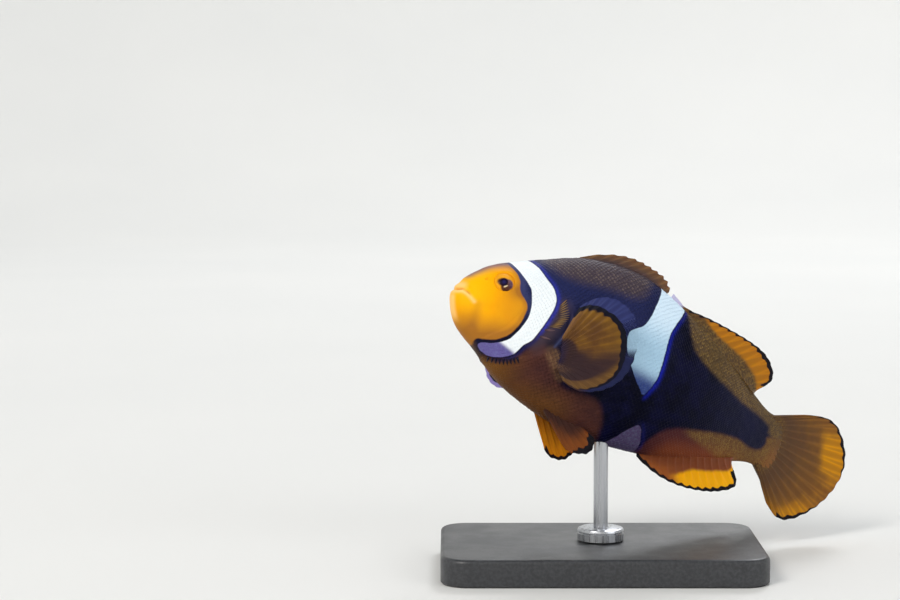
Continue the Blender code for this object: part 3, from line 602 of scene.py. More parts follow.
def scale_piece(name, skin, places, seed):
    """Joined scales, each a thin closed plate rooted in the skin with a raised, rounded rear edge."""
    random = np.random.default_rng(seed)
    count = len(places)
    b, a = np.meshgrid(np.linspace(0, 1, SCALE_ALONG), np.linspace(-1, 1, SCALE_ACROSS), indexing="ij")
    b = 1 - (1 - b) ** 1.3
    across = a * np.sqrt(1 - 0.85 * (np.clip(b - 0.35, 0, 1) / 0.65) ** 2) * SCALE_HALF
    along = b * (SCALE_REACH - SCALE_ROUND * a * a * b)
    rise = -0.05 + SCALE_LIFT * b * (1 - 0.35 * a * a) + 0.012 * (1 - a * a)
    station, fraction, pitch = (places[:, i, None, None] for i in range(3))
    size = pitch * (1 + 0.04 * random.standard_normal((count, 1, 1)))
    turn = 0.05 * random.standard_normal((count, 1, 1))
    per_top = SCALE_ACROSS * SCALE_ALONG
    s = (station + size * (along + turn * across)).reshape(count, per_top)
    f = (fraction + size * (across - turn * along) / (pitch * SCALES_ROUND)).reshape(count, per_top)
    flat_head = 1 - 0.55 * fade(station, 15.0, 19.0)
    top = skin.at(s, f, (np.clip(size, 0.35, 1.0) * rise * flat_head).reshape(count, per_top))
    index = np.arange(per_top).reshape(SCALE_ALONG, SCALE_ACROSS)
    loop = np.concatenate([index[0], index[1:, -1], index[-1, -2::-1], index[-2:0:-1, 0]])
    under = skin.at(s[:, loop], f[:, loop], np.tile(np.minimum(rise, 0).ravel()[loop] - 0.08, (count, 1)))
    per_scale = per_top + len(loop)
    start = (np.arange(count) * per_scale)[:, None, None]
    here = np.arange(len(loop))
    walls = np.stack([np.roll(loop, -1), loop, per_top + here, per_top + np.roll(here, -1)], axis=-1)
    quads = (np.concatenate([grid_faces(SCALE_ALONG, SCALE_ACROSS), walls])[None] + start).reshape(-1, 4)
    bottom = per_top + here[::-1] + start[:, 0]

    def with_rim(values):
        """Values of the top's points, followed by those of the points under its rim."""
        return np.concatenate([values, values[..., loop]], axis=-1)

    floats = marks_and_painted_light(*skin.read(skin.plain, with_rim(s), with_rim(f)).reshape(-1, 3).T)
    floats["tip"] = np.tile(with_rim((b + 0.10 * a * a).ravel()), count)
    floats["aside"] = np.tile(with_rim(np.abs(a).ravel()), count)
    floats["tone"] = np.repeat(random.random(count), per_scale)
    local = np.stack([with_rim((b - 0.5).ravel()) * PATCH, with_rim(a.ravel()) * PATCH / 2], axis=-1)
    uv = skin.unwrap(places[:, 0], places[:, 1] % 1)[:, None] + local
    points = np.concatenate([top, under], axis=1)
    return make_mesh(name, to_scene(points.reshape(-1, 3)), [quads, bottom], uv.reshape(-1, 2), floats)


# -------------------- gill-cover spines
SPINE_STEPS = 9             # rings of points along a spine


def spine_piece(name, skin, side, spines, width, height, seed, wedge):
    """Small ridges on the skin, from roots to tips in side view; a wedge is widest at its root."""
    random = np.random.default_rng(seed)
    steps = np.linspace(0, 1, SPINE_STEPS)
    swell = 1.0 if wedge else 0.45 + 0.55 * np.sin(math.pi * np.minimum(0.75 * steps, 0.5))
    half = (width * swell * (1.03 - steps) ** 0.6)[:, None]
    crest = (height * (0.50 + 0.50 * steps) * (1.06 - steps) ** 0.4)[:, None]
    points, quads = [], []
    for root, tip in np.array(spines):
        x, z = (root + (tip - root) * steps[:, None]).T
        fraction = np.array([skin.fraction_at(*spot, side) for spot in zip(x, z)])
        middle, lifted = (skin.at(x, fraction, np.full(len(steps), lift)) for lift in (0.0, 1.0))
        up = lifted - middle
        across = np.cross(up, np.gradient(middle, axis=0))
        across *= half / np.linalg.norm(across, axis=1)[:, None]
        shoulder = middle + up * crest * 0.45
        keel = middle - up * 0.25 * (1 - steps)[:, None]
        ring = [shoulder - across, middle + up * crest, shoulder + across, keel]
        first = 4 * len(steps) * len(points)
        last = first + 4 * (len(steps) - 1)
        points.append(np.stack(ring, axis=1))
        quads += [grid_faces(len(steps), 4, wrap=True, start=first)[:, [0, 3, 2, 1]],
                  first + np.arange(4), last + np.arange(4)[::-1]]
    quads = np.concatenate([np.atleast_2d(group) for group in quads])
    floats = {"along": np.tile(np.repeat(steps, 4), len(points)),
              "tone": np.repeat(random.random(len(points)), 4 * len(steps))}
    return make_mesh(name, to_scene(np.reshape(points, (-1, 3))), [quads if side > 0 else quads[:, ::-1]],
                     None, floats)


# -------------------- fins
RAY_COLUMNS = 9             # columns of points for each ray
EDGE_SAMPLES = 200          # points on a fin's outer edge that widths are measured from
BASE_POINTS = 6             # points along a fin's base
EDGE_HALF = 0.055           # half a fin's thickness between the rays at its margin
SEGMENT_RISE, SEGMENTS = 0.012, 9.0     # height of the rays' joints, and their phase per millimetre


def by_share(knots):
    """Linear reading of (share, value) knots."""
    shares, values = zip(*knots)
    return lambda share: np.interp(share, shares, values)


def fin_piece(name, base, margin, rays, thickness, scallop=0.14, bow=0.0, curl=0.0, rows=44, split=0.45,
              wave=0.05, lean=1.0, taper=1.4, border=((0, 0.4), (1, 0.4)), clear=((0, 0), (1, 0)),
              veil=((0, 1), (1, 1)), jagged=0.22, light_and_shade=None):
    """A fin as a thin closed sheet between two curves, with raised rays that fork towards the margin.

    A lean below 1 lays the rays back. The border is the width of the dark margin and clear that of the
    clear one outside it, both in millimetres against the share of the way along the margin; veil is how
    solid the clear one looks. The dark band's inner edge is drawn in between the rays by jagged.
    light_and_shade gives the share of the bright outer colour from the ways along and out; that colour is
    partly the fin's own orange and partly painted light. On a pectoral fin it gives the share of the
    blade's painted shadow instead.
    """
    share, out = np.linspace(0, 1, rays * RAY_COLUMNS + 1), np.linspace(0, 1, rows + 1)
    u, v = np.meshgrid(share, out, indexing="ij")
    phase = u * rays
    centred = phase % 1.0 - 0.5
    spread = np.clip((v - split) / max(1 - split, 0.01), 0, 1) * 0.23
    ray = bump(np.minimum(np.abs(centred - spread), np.abs(centred + spread)), 0.13 - 0.045 * v)
    notch = 0.5 + 0.5 * np.cos(2 * math.pi * phase[:, :1])
    root, tip = curve(base)(share), curve(margin)(share ** lean)
    length = np.linalg.norm(tip - root, axis=1)[:, None]
    tip = tip - (tip - root) * scallop * notch / length
    sheet = root[:, None] + (tip - root)[:, None] * v[..., None]
    edge_line = curve(margin)(np.linspace(0, 1, EDGE_SAMPLES))
    gap = np.linalg.norm(sheet.reshape(-1, 1, 3) - edge_line, axis=-1).min(axis=1).reshape(v.shape)
    sheet[..., 1] += bow * np.sin(math.pi * v) * np.sin(math.pi * u) - curl * v ** 2 * u ** 2
    normal = grid_normals(sheet, wrap=False)
    sheet += normal * (wave * v * np.sin(2 * math.pi * phase))[..., None]
    half = 0.5 * thickness * (1 - v) ** taper + EDGE_HALF + ray * (0.05 + 0.13 * (1 - v) ** 0.8)
    half += SEGMENT_RISE * ray * np.sin(v * length * SEGMENTS)
    front, rear = (sheet + normal * (sign * half)[..., None] for sign in (1, -1))
    index = np.arange(v.size).reshape(v.shape)
    outline = np.concatenate([index[0, :-1], index[:-1, -1], index[-1, :0:-1], index[:0:-1, 0]])
    after = np.roll(outline, -1)
    faces = [grid_faces(*v.shape), grid_faces(*v.shape, start=v.size)[:, ::-1],
             np.stack([after, outline, outline + v.size, after + v.size], axis=-1)]
    clear_in = gap - by_share(clear)(u) + 0.55 * jagged * (1 - notch)
    dark_in = clear_in - by_share(border)(u) + jagged * ((1 - notch) ** 0.5 - 0.45)
    floats = {"out": v, "across": u, "ray": ray, "clear": clear_in, "dark": dark_in,
              "veil": by_share(veil)(u), "light_and_shade": light_and_shade(u, v) if light_and_shade else np.zeros_like(u)}
    floats = {key: np.tile(value.ravel(), 2) for key, value in floats.items()}
    uv = [np.stack([u * 0.48 + left, v * 0.98 + 0.01], axis=-1) for left in (0.01, 0.51)]
    points = np.reshape([front, rear], (-1, 3))
    return make_mesh(name, to_scene(points), faces, np.reshape(uv, (-1, 2)), floats)


def in_shares(points, y=0.0):
    """Points from shares of the length and the depth, all at one distance from the middle plane."""
    return [(x * LENGTH, y, z * DEPTH) for x, z in points]


def along_edge(edge, start, end, sink):
    """A fin's base: points along the back or the belly, sunk into the body."""
    return [(x * LENGTH, 0, float(edge(x)) + sink) for x in np.linspace(start, end, BASE_POINTS)]


SPINY_MARGIN = (
    (0.285, 0.505), (0.350, 0.580), (0.425, 0.624), (0.490, 0.616), (0.533, 0.585), (0.548, 0.545))
SOFT_MARGIN = (
    (0.560, 0.545), (0.600, 0.505), (0.660, 0.505), (0.760, 0.512), (0.860, 0.506), (0.925, 0.462),
    (0.951, 0.390), (0.925, 0.305))
ANAL_MARGIN = (
    (0.622, -0.405), (0.680, -0.438), (0.760, -0.446), (0.850, -0.408), (0.925, -0.340),
    (0.956, -0.275), (0.935, -0.215))
TAIL_ROOT = ((0.985, 0.185), (0.978, 0.115), (0.976, 0.040), (0.978, -0.035), (0.985, -0.105))
TAIL_MARGIN = (
    (1.110, 0.303), (1.165, 0.342), (1.215, 0.350), (1.262, 0.290), (1.300, 0.140), (1.285, -0.050),
    (1.230, -0.225), (1.150, -0.322), (1.090, -0.262))
PECTORAL_ROOT = (
    (0.281, 0.450, -0.047), (0.287, 0.458, -0.089), (0.290, 0.457, -0.132), (0.298, 0.436, -0.178))
PECTORAL_MARGIN = (
    (0.288, 0.570, 0.175), (0.318, 0.660, 0.252), (0.360, 0.730, 0.280), (0.402, 0.780, 0.252),
    (0.432, 0.812, 0.180), (0.446, 0.825, 0.080), (0.449, 0.825, -0.030), (0.436, 0.805, -0.140),
    (0.396, 0.740, -0.235), (0.355, 0.650, -0.266), (0.318, 0.570, -0.248))
PECTORAL_RAYS = 17
# The right fin is the left one mirrored, turned about its root, and with a shorter root set deeper.
RIGHT_PECTORAL_SWING = math.radians(80)
RIGHT_PECTORAL_DROP = math.radians(64)
RIGHT_PECTORAL_PITCH = math.radians(-54)
RIGHT_ROOT_SPAN = 0.9
RIGHT_ROOT_SINK = 0.6
PELVIC_ROOT_APART, PELVIC_TIPS_APART = 2.2, 4.2     # from the middle plane, in millimetres
PELVIC_ROOT = ((0.312, -0.370), (0.345, -0.385), (0.385, -0.390), (0.420, -0.388))
PELVIC_MARGIN = {
    "left": ((0.395, -0.545), (0.424, -0.566), (0.445, -0.552), (0.466, -0.530), (0.474, -0.490),
             (0.468, -0.435)),
    "right": ((0.396, -0.556), (0.414, -0.586), (0.436, -0.588), (0.455, -0.575), (0.472, -0.530),
              (0.480, -0.455)),
}
# Widths in millimetres against the share of the way along each margin.
PELVIC_BORDER = {"left": ((0, -0.3), (0.22, -0.3), (0.36, 0.65), (0.55, 1.3), (1, 1.4)),
                 "right": ((0, 0.2), (0.15, 0.6), (0.5, 0.85), (1, 0.9))}
SOFT_BORDER = (
    (0, 0.0), (0.07, 0.0), (0.12, 0.45), (0.6, 0.50), (0.72, 1.05), (0.85, 1.15), (0.95, 0.5), (1, 0.1))
ANAL_BORDER = ((0, 0.80), (0.2, 0.60), (0.5, 0.65), (0.74, 0.90), (0.92, 1.00), (1, 0.8))
TAIL_BORDER = (
    (0, 0.0), (0.12, 0.35), (0.22, 0.55), (0.32, 0.95), (0.42, 0.60), (0.50, 0.15), (0.60, 0.15),
    (0.70, 0.55), (0.80, 0.95), (0.87, 0.70), (0.92, 0.0), (1, 0.0))
PECTORAL_BORDER = (
    (0, 2.1), (0.02, 1.8), (0.035, 0.60), (0.06, 0.42), (0.20, 0.55), (0.28, 1.00), (0.52, 1.05),
    (0.62, 0.60), (0.80, 0.30), (0.90, 0.08), (1, 0))
PECTORAL_CLEAR = (
    (0, 0.2), (0.08, 0.65), (0.13, 1.25), (0.23, 2.65), (0.31, 2.8), (0.45, 2.0), (0.62, 1.35),
    (0.80, 0.66), (0.90, 0.28), (1, 0.1))
PECTORAL_VEIL = ((0, 1), (0.32, 1), (0.38, 0.02), (0.49, 0.02), (0.55, 1), (1, 1))
# The share across the blade where its painted shadow, the shade of its fold and of its root, starts
# and ends, against the share of the way out.
SHADE_FROM = ((0, 0.0), (0.08, 0.04), (0.16, 0.14), (0.24, 0.44), (0.45, 0.54), (0.75, 0.50), (1, 0.52))
SHADE_TO = ((0, 1.2), (0.54, 1.10), (0.60, 0.92), (0.65, 0.76), (0.78, 0.63), (0.92, 0.50), (1, 0.44))


def soft_glow(u, v):
    """Bright over the outer half, narrowing to nothing at the front."""
    return ease(v - 0.42 - 0.40 * ease(-u, -0.44, -0.12), -0.14, 0.14) * ease(u, 0.16, 0.34)


def anal_glow(u, v):
    edge = 0.40 + 0.34 * ease(-u, -0.56, -0.22) + 0.14 * ease(u, 0.75, 1.0)
    return ease(v - edge, -0.12, 0.12) * ease(u, 0.20, 0.46)


def tail_glow(u, v):
    """A bright patch by the upper rear margin and another along the lower one."""
    upper = bump(u - 0.38, 0.10) * ease(v, 0.66, 0.84)
    return upper + 0.6 * bump(u - 0.80, 0.12) * ease(v, 0.70, 0.94) + 0.25 * ease(v, 0.45, 0.95)


def pectoral_shade(u, v):
    """The pectoral blade's painted shadow: the shade across its folded lower middle and in the recess
    at its root.
    """
    return ease(u - by_share(SHADE_FROM)(v), -0.08, 0.09) * ease(by_share(SHADE_TO)(v) - u, -0.08, 0.09)


def rotation(axis, angle):
    """A turn about X, Y or Z, as a matrix."""
    c, s = math.cos(angle), math.sin(angle)
    turns = {"X": ((1, 0, 0), (0, c, -s), (0, s, c)), "Y": ((c, 0, s), (0, 1, 0), (-s, 0, c)),
             "Z": ((c, -s, 0), (s, c, 0), (0, 0, 1))}
    return np.array(turns[axis])


def fins():
    """Every fin piece, keyed by the node it stands for."""
    made = {
        "dorsal_fin_spiny": fin_piece(
            "spiny_dorsal_fin", along_edge(back, 0.270, 0.530, -1.2), in_shares(SPINY_MARGIN), 10, 1.0,
            scallop=0.35, rows=26, split=2, wave=0.10, lean=0.62, border=((0, 0.15), (1, 0.15))),
        "dorsal_fin_soft": fin_piece(
            "soft_dorsal_fin", along_edge(back, 0.553, 0.892, -1.0), in_shares(SOFT_MARGIN), 15, 2.6,
            lean=0.88, taper=3.0, border=SOFT_BORDER, light_and_shade=soft_glow),
        "anal_fin": fin_piece(
            "rayed_anal_fin", along_edge(belly, 0.615, 0.895, 1.0), in_shares(ANAL_MARGIN), 13, 3.2,
            lean=0.90, taper=3.0, border=ANAL_BORDER, light_and_shade=anal_glow),
        "caudal_fin": fin_piece(
            "tail_fin", in_shares(TAIL_ROOT), in_shares(TAIL_MARGIN), 16, 1.1, scallop=0.2, curl=1.0,
            rows=64, border=TAIL_BORDER, light_and_shade=tail_glow),
    }
    scale = (LENGTH, WIDTH, DEPTH)
    # Both pectoral blades carry their painted shadow in the share that other fins use for their bright
    # colour.
    blade = {"light_and_shade": pectoral_shade, "jagged": 0.10}
    root, margin = np.array(PECTORAL_ROOT) * scale, np.array(PECTORAL_MARGIN) * scale
    made["pectoral_fin_left"] = fin_piece(
        "left_pectoral_fin", root, margin, PECTORAL_RAYS, 0.7, bow=0.6, border=PECTORAL_BORDER,
        clear=PECTORAL_CLEAR, veil=PECTORAL_VEIL, **blade)
    flip = (1, -1, 1)
    pivot = root.mean(axis=0) * flip
    spread = rotation("X", RIGHT_PECTORAL_DROP) @ rotation("Z", -RIGHT_PECTORAL_SWING)
    spread = spread @ rotation("Y", RIGHT_PECTORAL_PITCH)
    right_root = pivot + (root * flip - pivot) * RIGHT_ROOT_SPAN + (0, RIGHT_ROOT_SINK, 0)
    right_margin = pivot + (margin * flip - pivot) @ spread.T
    made["pectoral_fin_right"] = fin_piece(
        "right_pectoral_fin", right_root, right_margin, PECTORAL_RAYS, 0.7, bow=-0.6,
        border=((0, 0.60), (1, 0.60)), clear=((0, 0.75), (1, 0.75)), **blade)
    for side, sign in (("left", 1), ("right", -1)):
        root = in_shares(PELVIC_ROOT, y=sign * PELVIC_ROOT_APART)
        margin = in_shares(PELVIC_MARGIN[side], y=sign * PELVIC_TIPS_APART)
        made["pelvic_fin_" + side] = fin_piece(
            side + "_pelvic_fin", root, margin, 6, 0.8, scallop=0.16, rows=36, border=PELVIC_BORDER[side])
    return made


# -------------------- eyes
EYE_RINGS, EYE_SIDES = 60, 72
CORNEA_RISE, CORNEA_REACH = 0.10, 0.95
FAR_SIDE = 3.0              # put between the hidden half of the eyeball and the marks on its front


def eye_piece(name, side):
    """A flattened eyeball with a domed clear front; places on it are kept for colour, from the gaze axis."""
    middle, gaze = eye_frame(side)
    angles = np.arange(EYE_SIDES) * 2 * math.pi / EYE_SIDES
    polar, angle = np.meshgrid(np.linspace(0, math.pi, EYE_RINGS), angles, indexing="ij")
    radial = np.sin(polar) * EYE_RADIUS
    hidden = FAR_SIDE * (polar > math.pi / 2)
    cornea = CORNEA_RISE * bump(radial, CORNEA_REACH) * (polar < math.pi / 2)
    axial = np.cos(polar) * EYE_RADIUS * EYE_FLATNESS + cornea
    across = np.cross(gaze, (0, 0, 1.0))
    across /= np.linalg.norm(across)
    axes = np.array([across, np.cross(across, gaze), gaze])
    points = middle + np.stack([radial * np.cos(angle), radial * np.sin(angle), axial], axis=-1) @ axes
    forward, above = -side * radial * np.cos(angle), radial * np.sin(angle)
    from_iris = np.minimum.reduce([
        np.hypot((forward - ahead) / half_long, (above - up) / half_high)
        for ahead, up, half_long, half_high in IRIS_PATCHES])
    floats = {"from_pupil": np.hypot(forward - PUPIL_SHIFT[0], above - PUPIL_SHIFT[1]) + hidden,
              "from_iris": from_iris + hidden, "behind": -forward, "above": above}
    uv = np.stack([polar / math.pi * 0.98 + 0.01, angle / (2 * math.pi) * 0.98 + 0.01], axis=-1)
    faces = grid_faces(EYE_RINGS, EYE_SIDES, wrap=True)
    piece = make_mesh(name, to_scene(points.reshape(-1, 3)), [faces if side > 0 else faces[:, ::-1]],
                      uv.reshape(-1, 2), floats)
    weld = piece.modifiers.new("weld", "WELD")
    weld.merge_threshold = 1e-6
    return piece


# -------------------- node materials
def srgb(red, green, blue):
    """A display colour, 0 to 255, as linear values with alpha."""
    def linear(value):
        value /= 255
        return value / 12.92 if value <= 0.04045 else ((value + 0.055) / 1.055) ** 2.4
    return (linear(red), linear(green), linear(blue), 1.0)


class Shading:
    """A Principled material and short ways to build its node tree.

    A source is a number, a display colour, an attribute's name or another node's output.
    """

    def __init__(self, name, settings):
        self.material = bpy.data.materials.new(name)
        self.material.use_nodes = True
        self.tree = self.material.node_tree
        self.shader = self.tree.nodes["Principled BSDF"]
        for socket, value in settings.items():
            self.shader.inputs[socket].default_value = value

    def node(self, kind, **settings):
        made = self.tree.nodes.new(kind)
        for key, value in settings.items():
            setattr(made, key, value)
        return made

    def join(self, source, target):
        if isinstance(source, str):
            source = self.node("ShaderNodeAttribute", attribute_name=source).outputs["Fac"]
        if isinstance(source, tuple):
            target.default_value = srgb(*source)
        elif isinstance(source, (int, float)):
            target.default_value = source
        else:
            self.tree.links.new(source, target)

    def math(self, operation, first, second):
        made = self.node("ShaderNodeMath", operation=operation)
        self.join(first, made.inputs[0])
        self.join(second, made.inputs[1])
        return made.outputs[0]

    def plus(self, first, second):
        return self.math("ADD", first, second)

    def times(self, first, *others):
        for other in others:
            first = self.math("MULTIPLY", first, other)
        return first

    def swing(self, noise, size):
        """A noise moved to both sides of 0."""
        return self.times(self.math("SUBTRACT", noise, 0.5), size)

    def ramp(self, value, low, high, to_low=0.0, to_high=1.0):
        made = self.node("ShaderNodeMapRange", interpolation_type="SMOOTHSTEP")
        self.join(value, made.inputs["Value"])
        for key, number in (("From Min", low), ("From Max", high), ("To Min", to_low), ("To Max", to_high)):
            made.inputs[key].default_value = number
        return made.outputs["Result"]

    def mix(self, share, first, second):
        made = self.node("ShaderNodeMix", data_type="RGBA")
        for key, source in (("Factor", share), ("A", first), ("B", second)):
            self.join(source, made.inputs[key])
        return made.outputs["Result"]

    def layers(self, base, *layers):
        """Colours over a base, each with its share and perhaps a strength."""
        for share, colour, *strength in layers:
            base = self.mix(self.times(share, *strength), base, colour)
        return base

    def noise(self, scale, detail=3.0, stretch=(1, 1, 1)):
        place = self.node("ShaderNodeMapping")
        self.join(self.node("ShaderNodeTexCoord").outputs["Object"], place.inputs["Vector"])
        place.inputs["Scale"].default_value = stretch
        made = self.node("ShaderNodeTexNoise")
        self.join(place.outputs["Vector"], made.inputs["Vector"])
        for key, number in (("Scale", scale), ("Detail", detail), ("Roughness", 0.55)):
            made.inputs[key].default_value = number
        return made.outputs["Fac"]

    def done(self, colour, height, strength, distance=0.00003, **more):
        """The material, once its colour, its bumps and any other sources are joined to the shader."""
        grain = self.node("ShaderNodeBump")
        for key, source in (("Strength", strength), ("Distance", distance), ("Height", height)):
            self.join(source, grain.inputs[key])
        for socket, source in {"Base Color": colour, "Normal": grain.outputs["Normal"], **more}.items():
            self.join(source, self.shader.inputs[socket])
        return self.material


def body_colour(s):
    """The body's whole pattern with its painted light and shade, read from the marking values; used by
    the skin and by the scales.
    """
    wobble = s.swing(s.noise(900.0), 0.5)
    mottling = s.noise(260.0, 4.0)
    fine = s.noise(2600.0)
    ragged_tip = s.plus("tip", s.swing(fine, 0.25))
    dash = s.times(
        s.ramp(ragged_tip, 0.68, 0.84), s.ramp(ragged_tip, 1.06, 0.94), s.ramp("aside", 0.98, 0.50),
        s.ramp("tone", 0.0, 0.6, 0.25, 1.0), s.ramp(s.noise(1100.0, 2.0), 0.38, 0.58, 0.25, 1.0),
        s.ramp(mottling, 0.36, 0.60, 0.45, 1.0))
    dark = s.layers(
        s.mix(s.ramp(mottling, 0.35, 0.70), (3, 4, 23), (10, 11, 44)),
        ("rear", (33, 34, 58), 0.60),
        # Painted light from above: lighter navy over the upper flank.
        ("upper", (38, 43, 85), 0.85),
        # Painted highlight: a bluish sheen on the upper black band just behind the face.
        (s.ramp("face", -2.0, -0.5), (62, 66, 108), "upper", 0.7))
    # The breast's brown: the belly's own orange-brown, darkened with painted shade of the underside.
    brown = s.mix(s.ramp(mottling, 0.30, 0.72), (62, 36, 36), (78, 45, 38))
    anal = s.plus("anal", wobble)
    body = s.layers(
        dark,
        (s.ramp(s.plus("breast", wobble), -0.7, 0.8), s.mix("throat", brown, (128, 84, 26))),
        (s.ramp(anal, -0.6, 0.7), s.mix(s.ramp(anal, 0.8, 4.6), (76, 39, 40), (124, 64, 40))),
        ("dusky", (66, 52, 62), 0.85),
        # Painted shade: dark blue in the recess between the gill cover and the fin's root.
        ("pit_shade", (26, 24, 50), 0.85),
        ("shoulder", (74, 62, 64), 0.80),
        ("shoulder", (128, 112, 102), dash, 0.70),
        ("gold", s.mix("tone", (120, 94, 48), (150, 118, 60)), s.plus(s.times(dash, 0.62), 0.38)),
        ("pad", s.mix("tone", (98, 72, 52), (122, 92, 66)), s.ramp(ragged_tip, 0.45, 0.95, 0.35, 0.85)),
        # Painted glint: a bluish streak beside the pectoral fin's leading edge.
        ("axil_glint", (56, 62, 96), 0.7))
    face = s.layers(
        (240, 160, 0),
        ("light", (255, 196, 0), 0.6),
        (s.ramp(mottling, 0.35, 0.75, 0.0, 0.40), (252, 182, 0)),
        # Painted shade on the face, with the face edge's own tan.
        ("cheek", (166, 107, 36)),
        # Pale pinkish lips, and a painted highlight along the chin's front edge.
        ("lips", (252, 210, 138), 0.75),
        # Painted shade in the mouth's slit.
        ("slit", (170, 90, 30), 0.50),
        ("crown", s.mix(s.ramp("face", 3.0, 0.4), (118, 90, 104), (72, 62, 92)), 0.88))
    rim = s.layers(
        (50, 54, 164),
        ("rim_dark", (30, 32, 84)),
        (s.ramp("middle", 0.0, 0.2), (22, 34, 170)))
    white = s.layers(
        (240, 245, 248),
        # Painted shade: violet at the head bar's lower end.
        (s.ramp(s.plus("violet", s.times(wobble, 0.3)), 0.0, 1.0), (100, 90, 152)),
        (s.ramp("middle", 0.0, 0.25), (216, 236, 252)),
        (s.ramp("middle", 0.25, 0.50), (172, 205, 228)),
        (s.ramp("middle", 0.50, 1.0), (52, 68, 128)),
        # Painted shade: the white belly patch in violet grey.
        ("patch", (76, 63, 96)),
        (s.ramp(fine, 0.40, 0.75, 0.0, 0.10), (150, 184, 212)))
    return s.layers(
        body,
        (s.ramp(s.plus("face", s.times(wobble, 0.5)), -0.14, 0.16), face),
        ("rim", rim, 0.85),
        (s.ramp(s.plus("white", s.times(wobble, 0.3)), -0.08, 0.08), white))


def body_material(name, specular, gloss_noise, gloss, bump_noise, bump):
    """The skin's or the scales' material; gloss is the range of the roughness."""
    s = Shading(name, {"Specular IOR Level": specular})
    roughness = s.ramp(s.noise(*gloss_noise), 0.3, 0.7, *gloss)
    return s.done(body_colour(s), s.noise(*bump_noise), *bump, Roughness=roughness)


def spine_material(name, low, high, other):
    s = Shading(name, {"Roughness": 0.42, "Specular IOR Level": 0.12})
    colour = s.mix(s.ramp("along", 0.0, 0.45), low, s.mix("tone", high, other))
    return s.done(colour, s.noise(4200.0, 2.0), 0.25)


def fin_material(name, inner, outer, bright, streak, scaly=0.0, barred=False):
    """A rayed fin: a membrane that changes outward, a bright zone that is partly its own orange and
    partly painted light, darker webs and a dark margin.
    """
    s = Shading(name, {"Roughness": 0.45, "Specular IOR Level": 0.09,
                       "Subsurface Weight": 0.10, "Subsurface Scale": 0.001})
    mottling, fine = s.noise(420.0, 4.0), s.noise(2400.0)
    uneven = s.swing(mottling, 0.5)
    colour = s.mix(s.ramp(s.plus("out", uneven), 0.25, 0.85), inner, outer)
    if scaly:
        root = s.ramp("out", scaly * 0.5, scaly, 0.65, 0.0)
        colour = s.layers(colour, (root, (138, 108, 52), s.ramp(fine, 0.38, 0.66)))
    colour = s.layers(
        colour,
        # The brighter outer part: partly the fin's own orange, partly painted light.
        (s.ramp(s.plus("light_and_shade", uneven), 0.10, 0.90), bright),
        (s.math("SUBTRACT", 1.0, "ray"), s.mix(0.5, inner, (30, 18, 14)), streak))
    if barred:
        colour = s.mix(s.ramp("across", 0.055, 0.085, 1.0, 0.0), colour, (186, 184, 214))
    edge = s.plus("dark", s.swing(fine, 0.22))
    return s.done(s.mix(s.ramp(edge, 0.08, -0.08), colour, (12, 10, 18)), s.noise(3600.0), 0.30)


def pectoral_material(name, web_tint, ray_tint, low_tint, end_tint):
    """Golden brown in the middle with a painted shadow over its fold and root, then a black band, then
    a clear bluish margin that thins out rearward.
    """
    s = Shading(name, {"Roughness": 0.42, "Specular IOR Level": 0.09})
    fine = s.noise(2400.0)
    jitter = s.swing(fine, 0.12)
    # Painted shadow: deep blue in the recess at the root, dark violet-brown further out over the fold.
    shade = s.mix(s.ramp("out", 0.0, 0.16), (22, 22, 60), (42, 28, 36))
    pad = s.mix(s.ramp(fine, 0.35, 0.65), (66, 46, 42), (98, 72, 54))
    golden = s.layers(
        s.mix(s.ramp(s.noise(380.0, 4.0), 0.30, 0.70), (92, 60, 28), (120, 82, 26)),
        (s.ramp("out", 0.50, 0.90, 0.0, 0.50), (144, 104, 24)),
        (s.ramp("across", 0.42, 0.75, 0.0, 0.60), (80, 60, 46)),
        (s.math("SUBTRACT", 1.0, "ray"), (70, 45, 28), 0.40),
        # The painted shadow over the blade's fold and root.
        ("light_and_shade", shade, 0.88),
        (s.ramp("across", 0.70, 0.90), pad, s.ramp("out", 0.42, 0.12)),
        (s.ramp("across", 0.10, 0.0, 0.0, 0.55), (140, 102, 70)))
    clear = s.layers(
        s.mix("ray", web_tint, ray_tint),
        (s.ramp("across", 0.42, 0.55), low_tint),
        (s.ramp("across", 0.84, 0.93), end_tint))
    inside = s.ramp(s.plus("clear", jitter), -0.08, 0.08)
    blade = s.mix(s.ramp(s.plus("dark", jitter), -0.10, 0.12), (14, 13, 26), golden)
    solid = s.math("MAXIMUM", inside, "veil")
    return s.done(s.mix(inside, clear, blade), s.noise(3600.0), 0.20, Alpha=solid)


def eye_material():
    """A blue-black pupil over a dusky violet-brown iris with a pale glint, and an orange outer ring."""
    s = Shading("eye_surface", {"Specular IOR Level": 0.05})
    grain = s.noise(2200.0, 4.0)
    jitter = s.swing(grain, 0.12)
    coarse = s.ramp(grain, 0.35, 0.65)
    pupil = s.plus("from_pupil", s.times(jitter, 0.4))
    iris = s.layers(
        s.mix(coarse, (66, 38, 28), (92, 54, 38)),
        (s.ramp(s.plus("behind", "above"), -0.2, 1.2), s.mix(coarse, (88, 62, 82), (112, 82, 96))))
    glint = s.times(
        s.ramp(s.math("SUBTRACT", "above", s.times("behind", 0.35)), -0.90, -1.06),
        s.ramp("behind", 0.06, 0.30), s.ramp(pupil, 1.00, 0.88))
    colour = s.layers(
        iris,
        (s.ramp(s.plus("from_iris", jitter), 0.76, 1.16), s.mix(grain, (222, 148, 24), (240, 168, 30))),
        (glint, (232, 208, 168)),
        (s.ramp(pupil, 0.84, 0.62), s.mix(s.ramp(pupil, 0.10, 0.60), (40, 36, 84), (26, 14, 34))))
    roughness = s.ramp("from_iris", 0.8, 1.1, 0.22, 0.55)
    return s.done(colour, s.noise(900.0, 2.0), 0.02, 0.00002, Roughness=roughness)


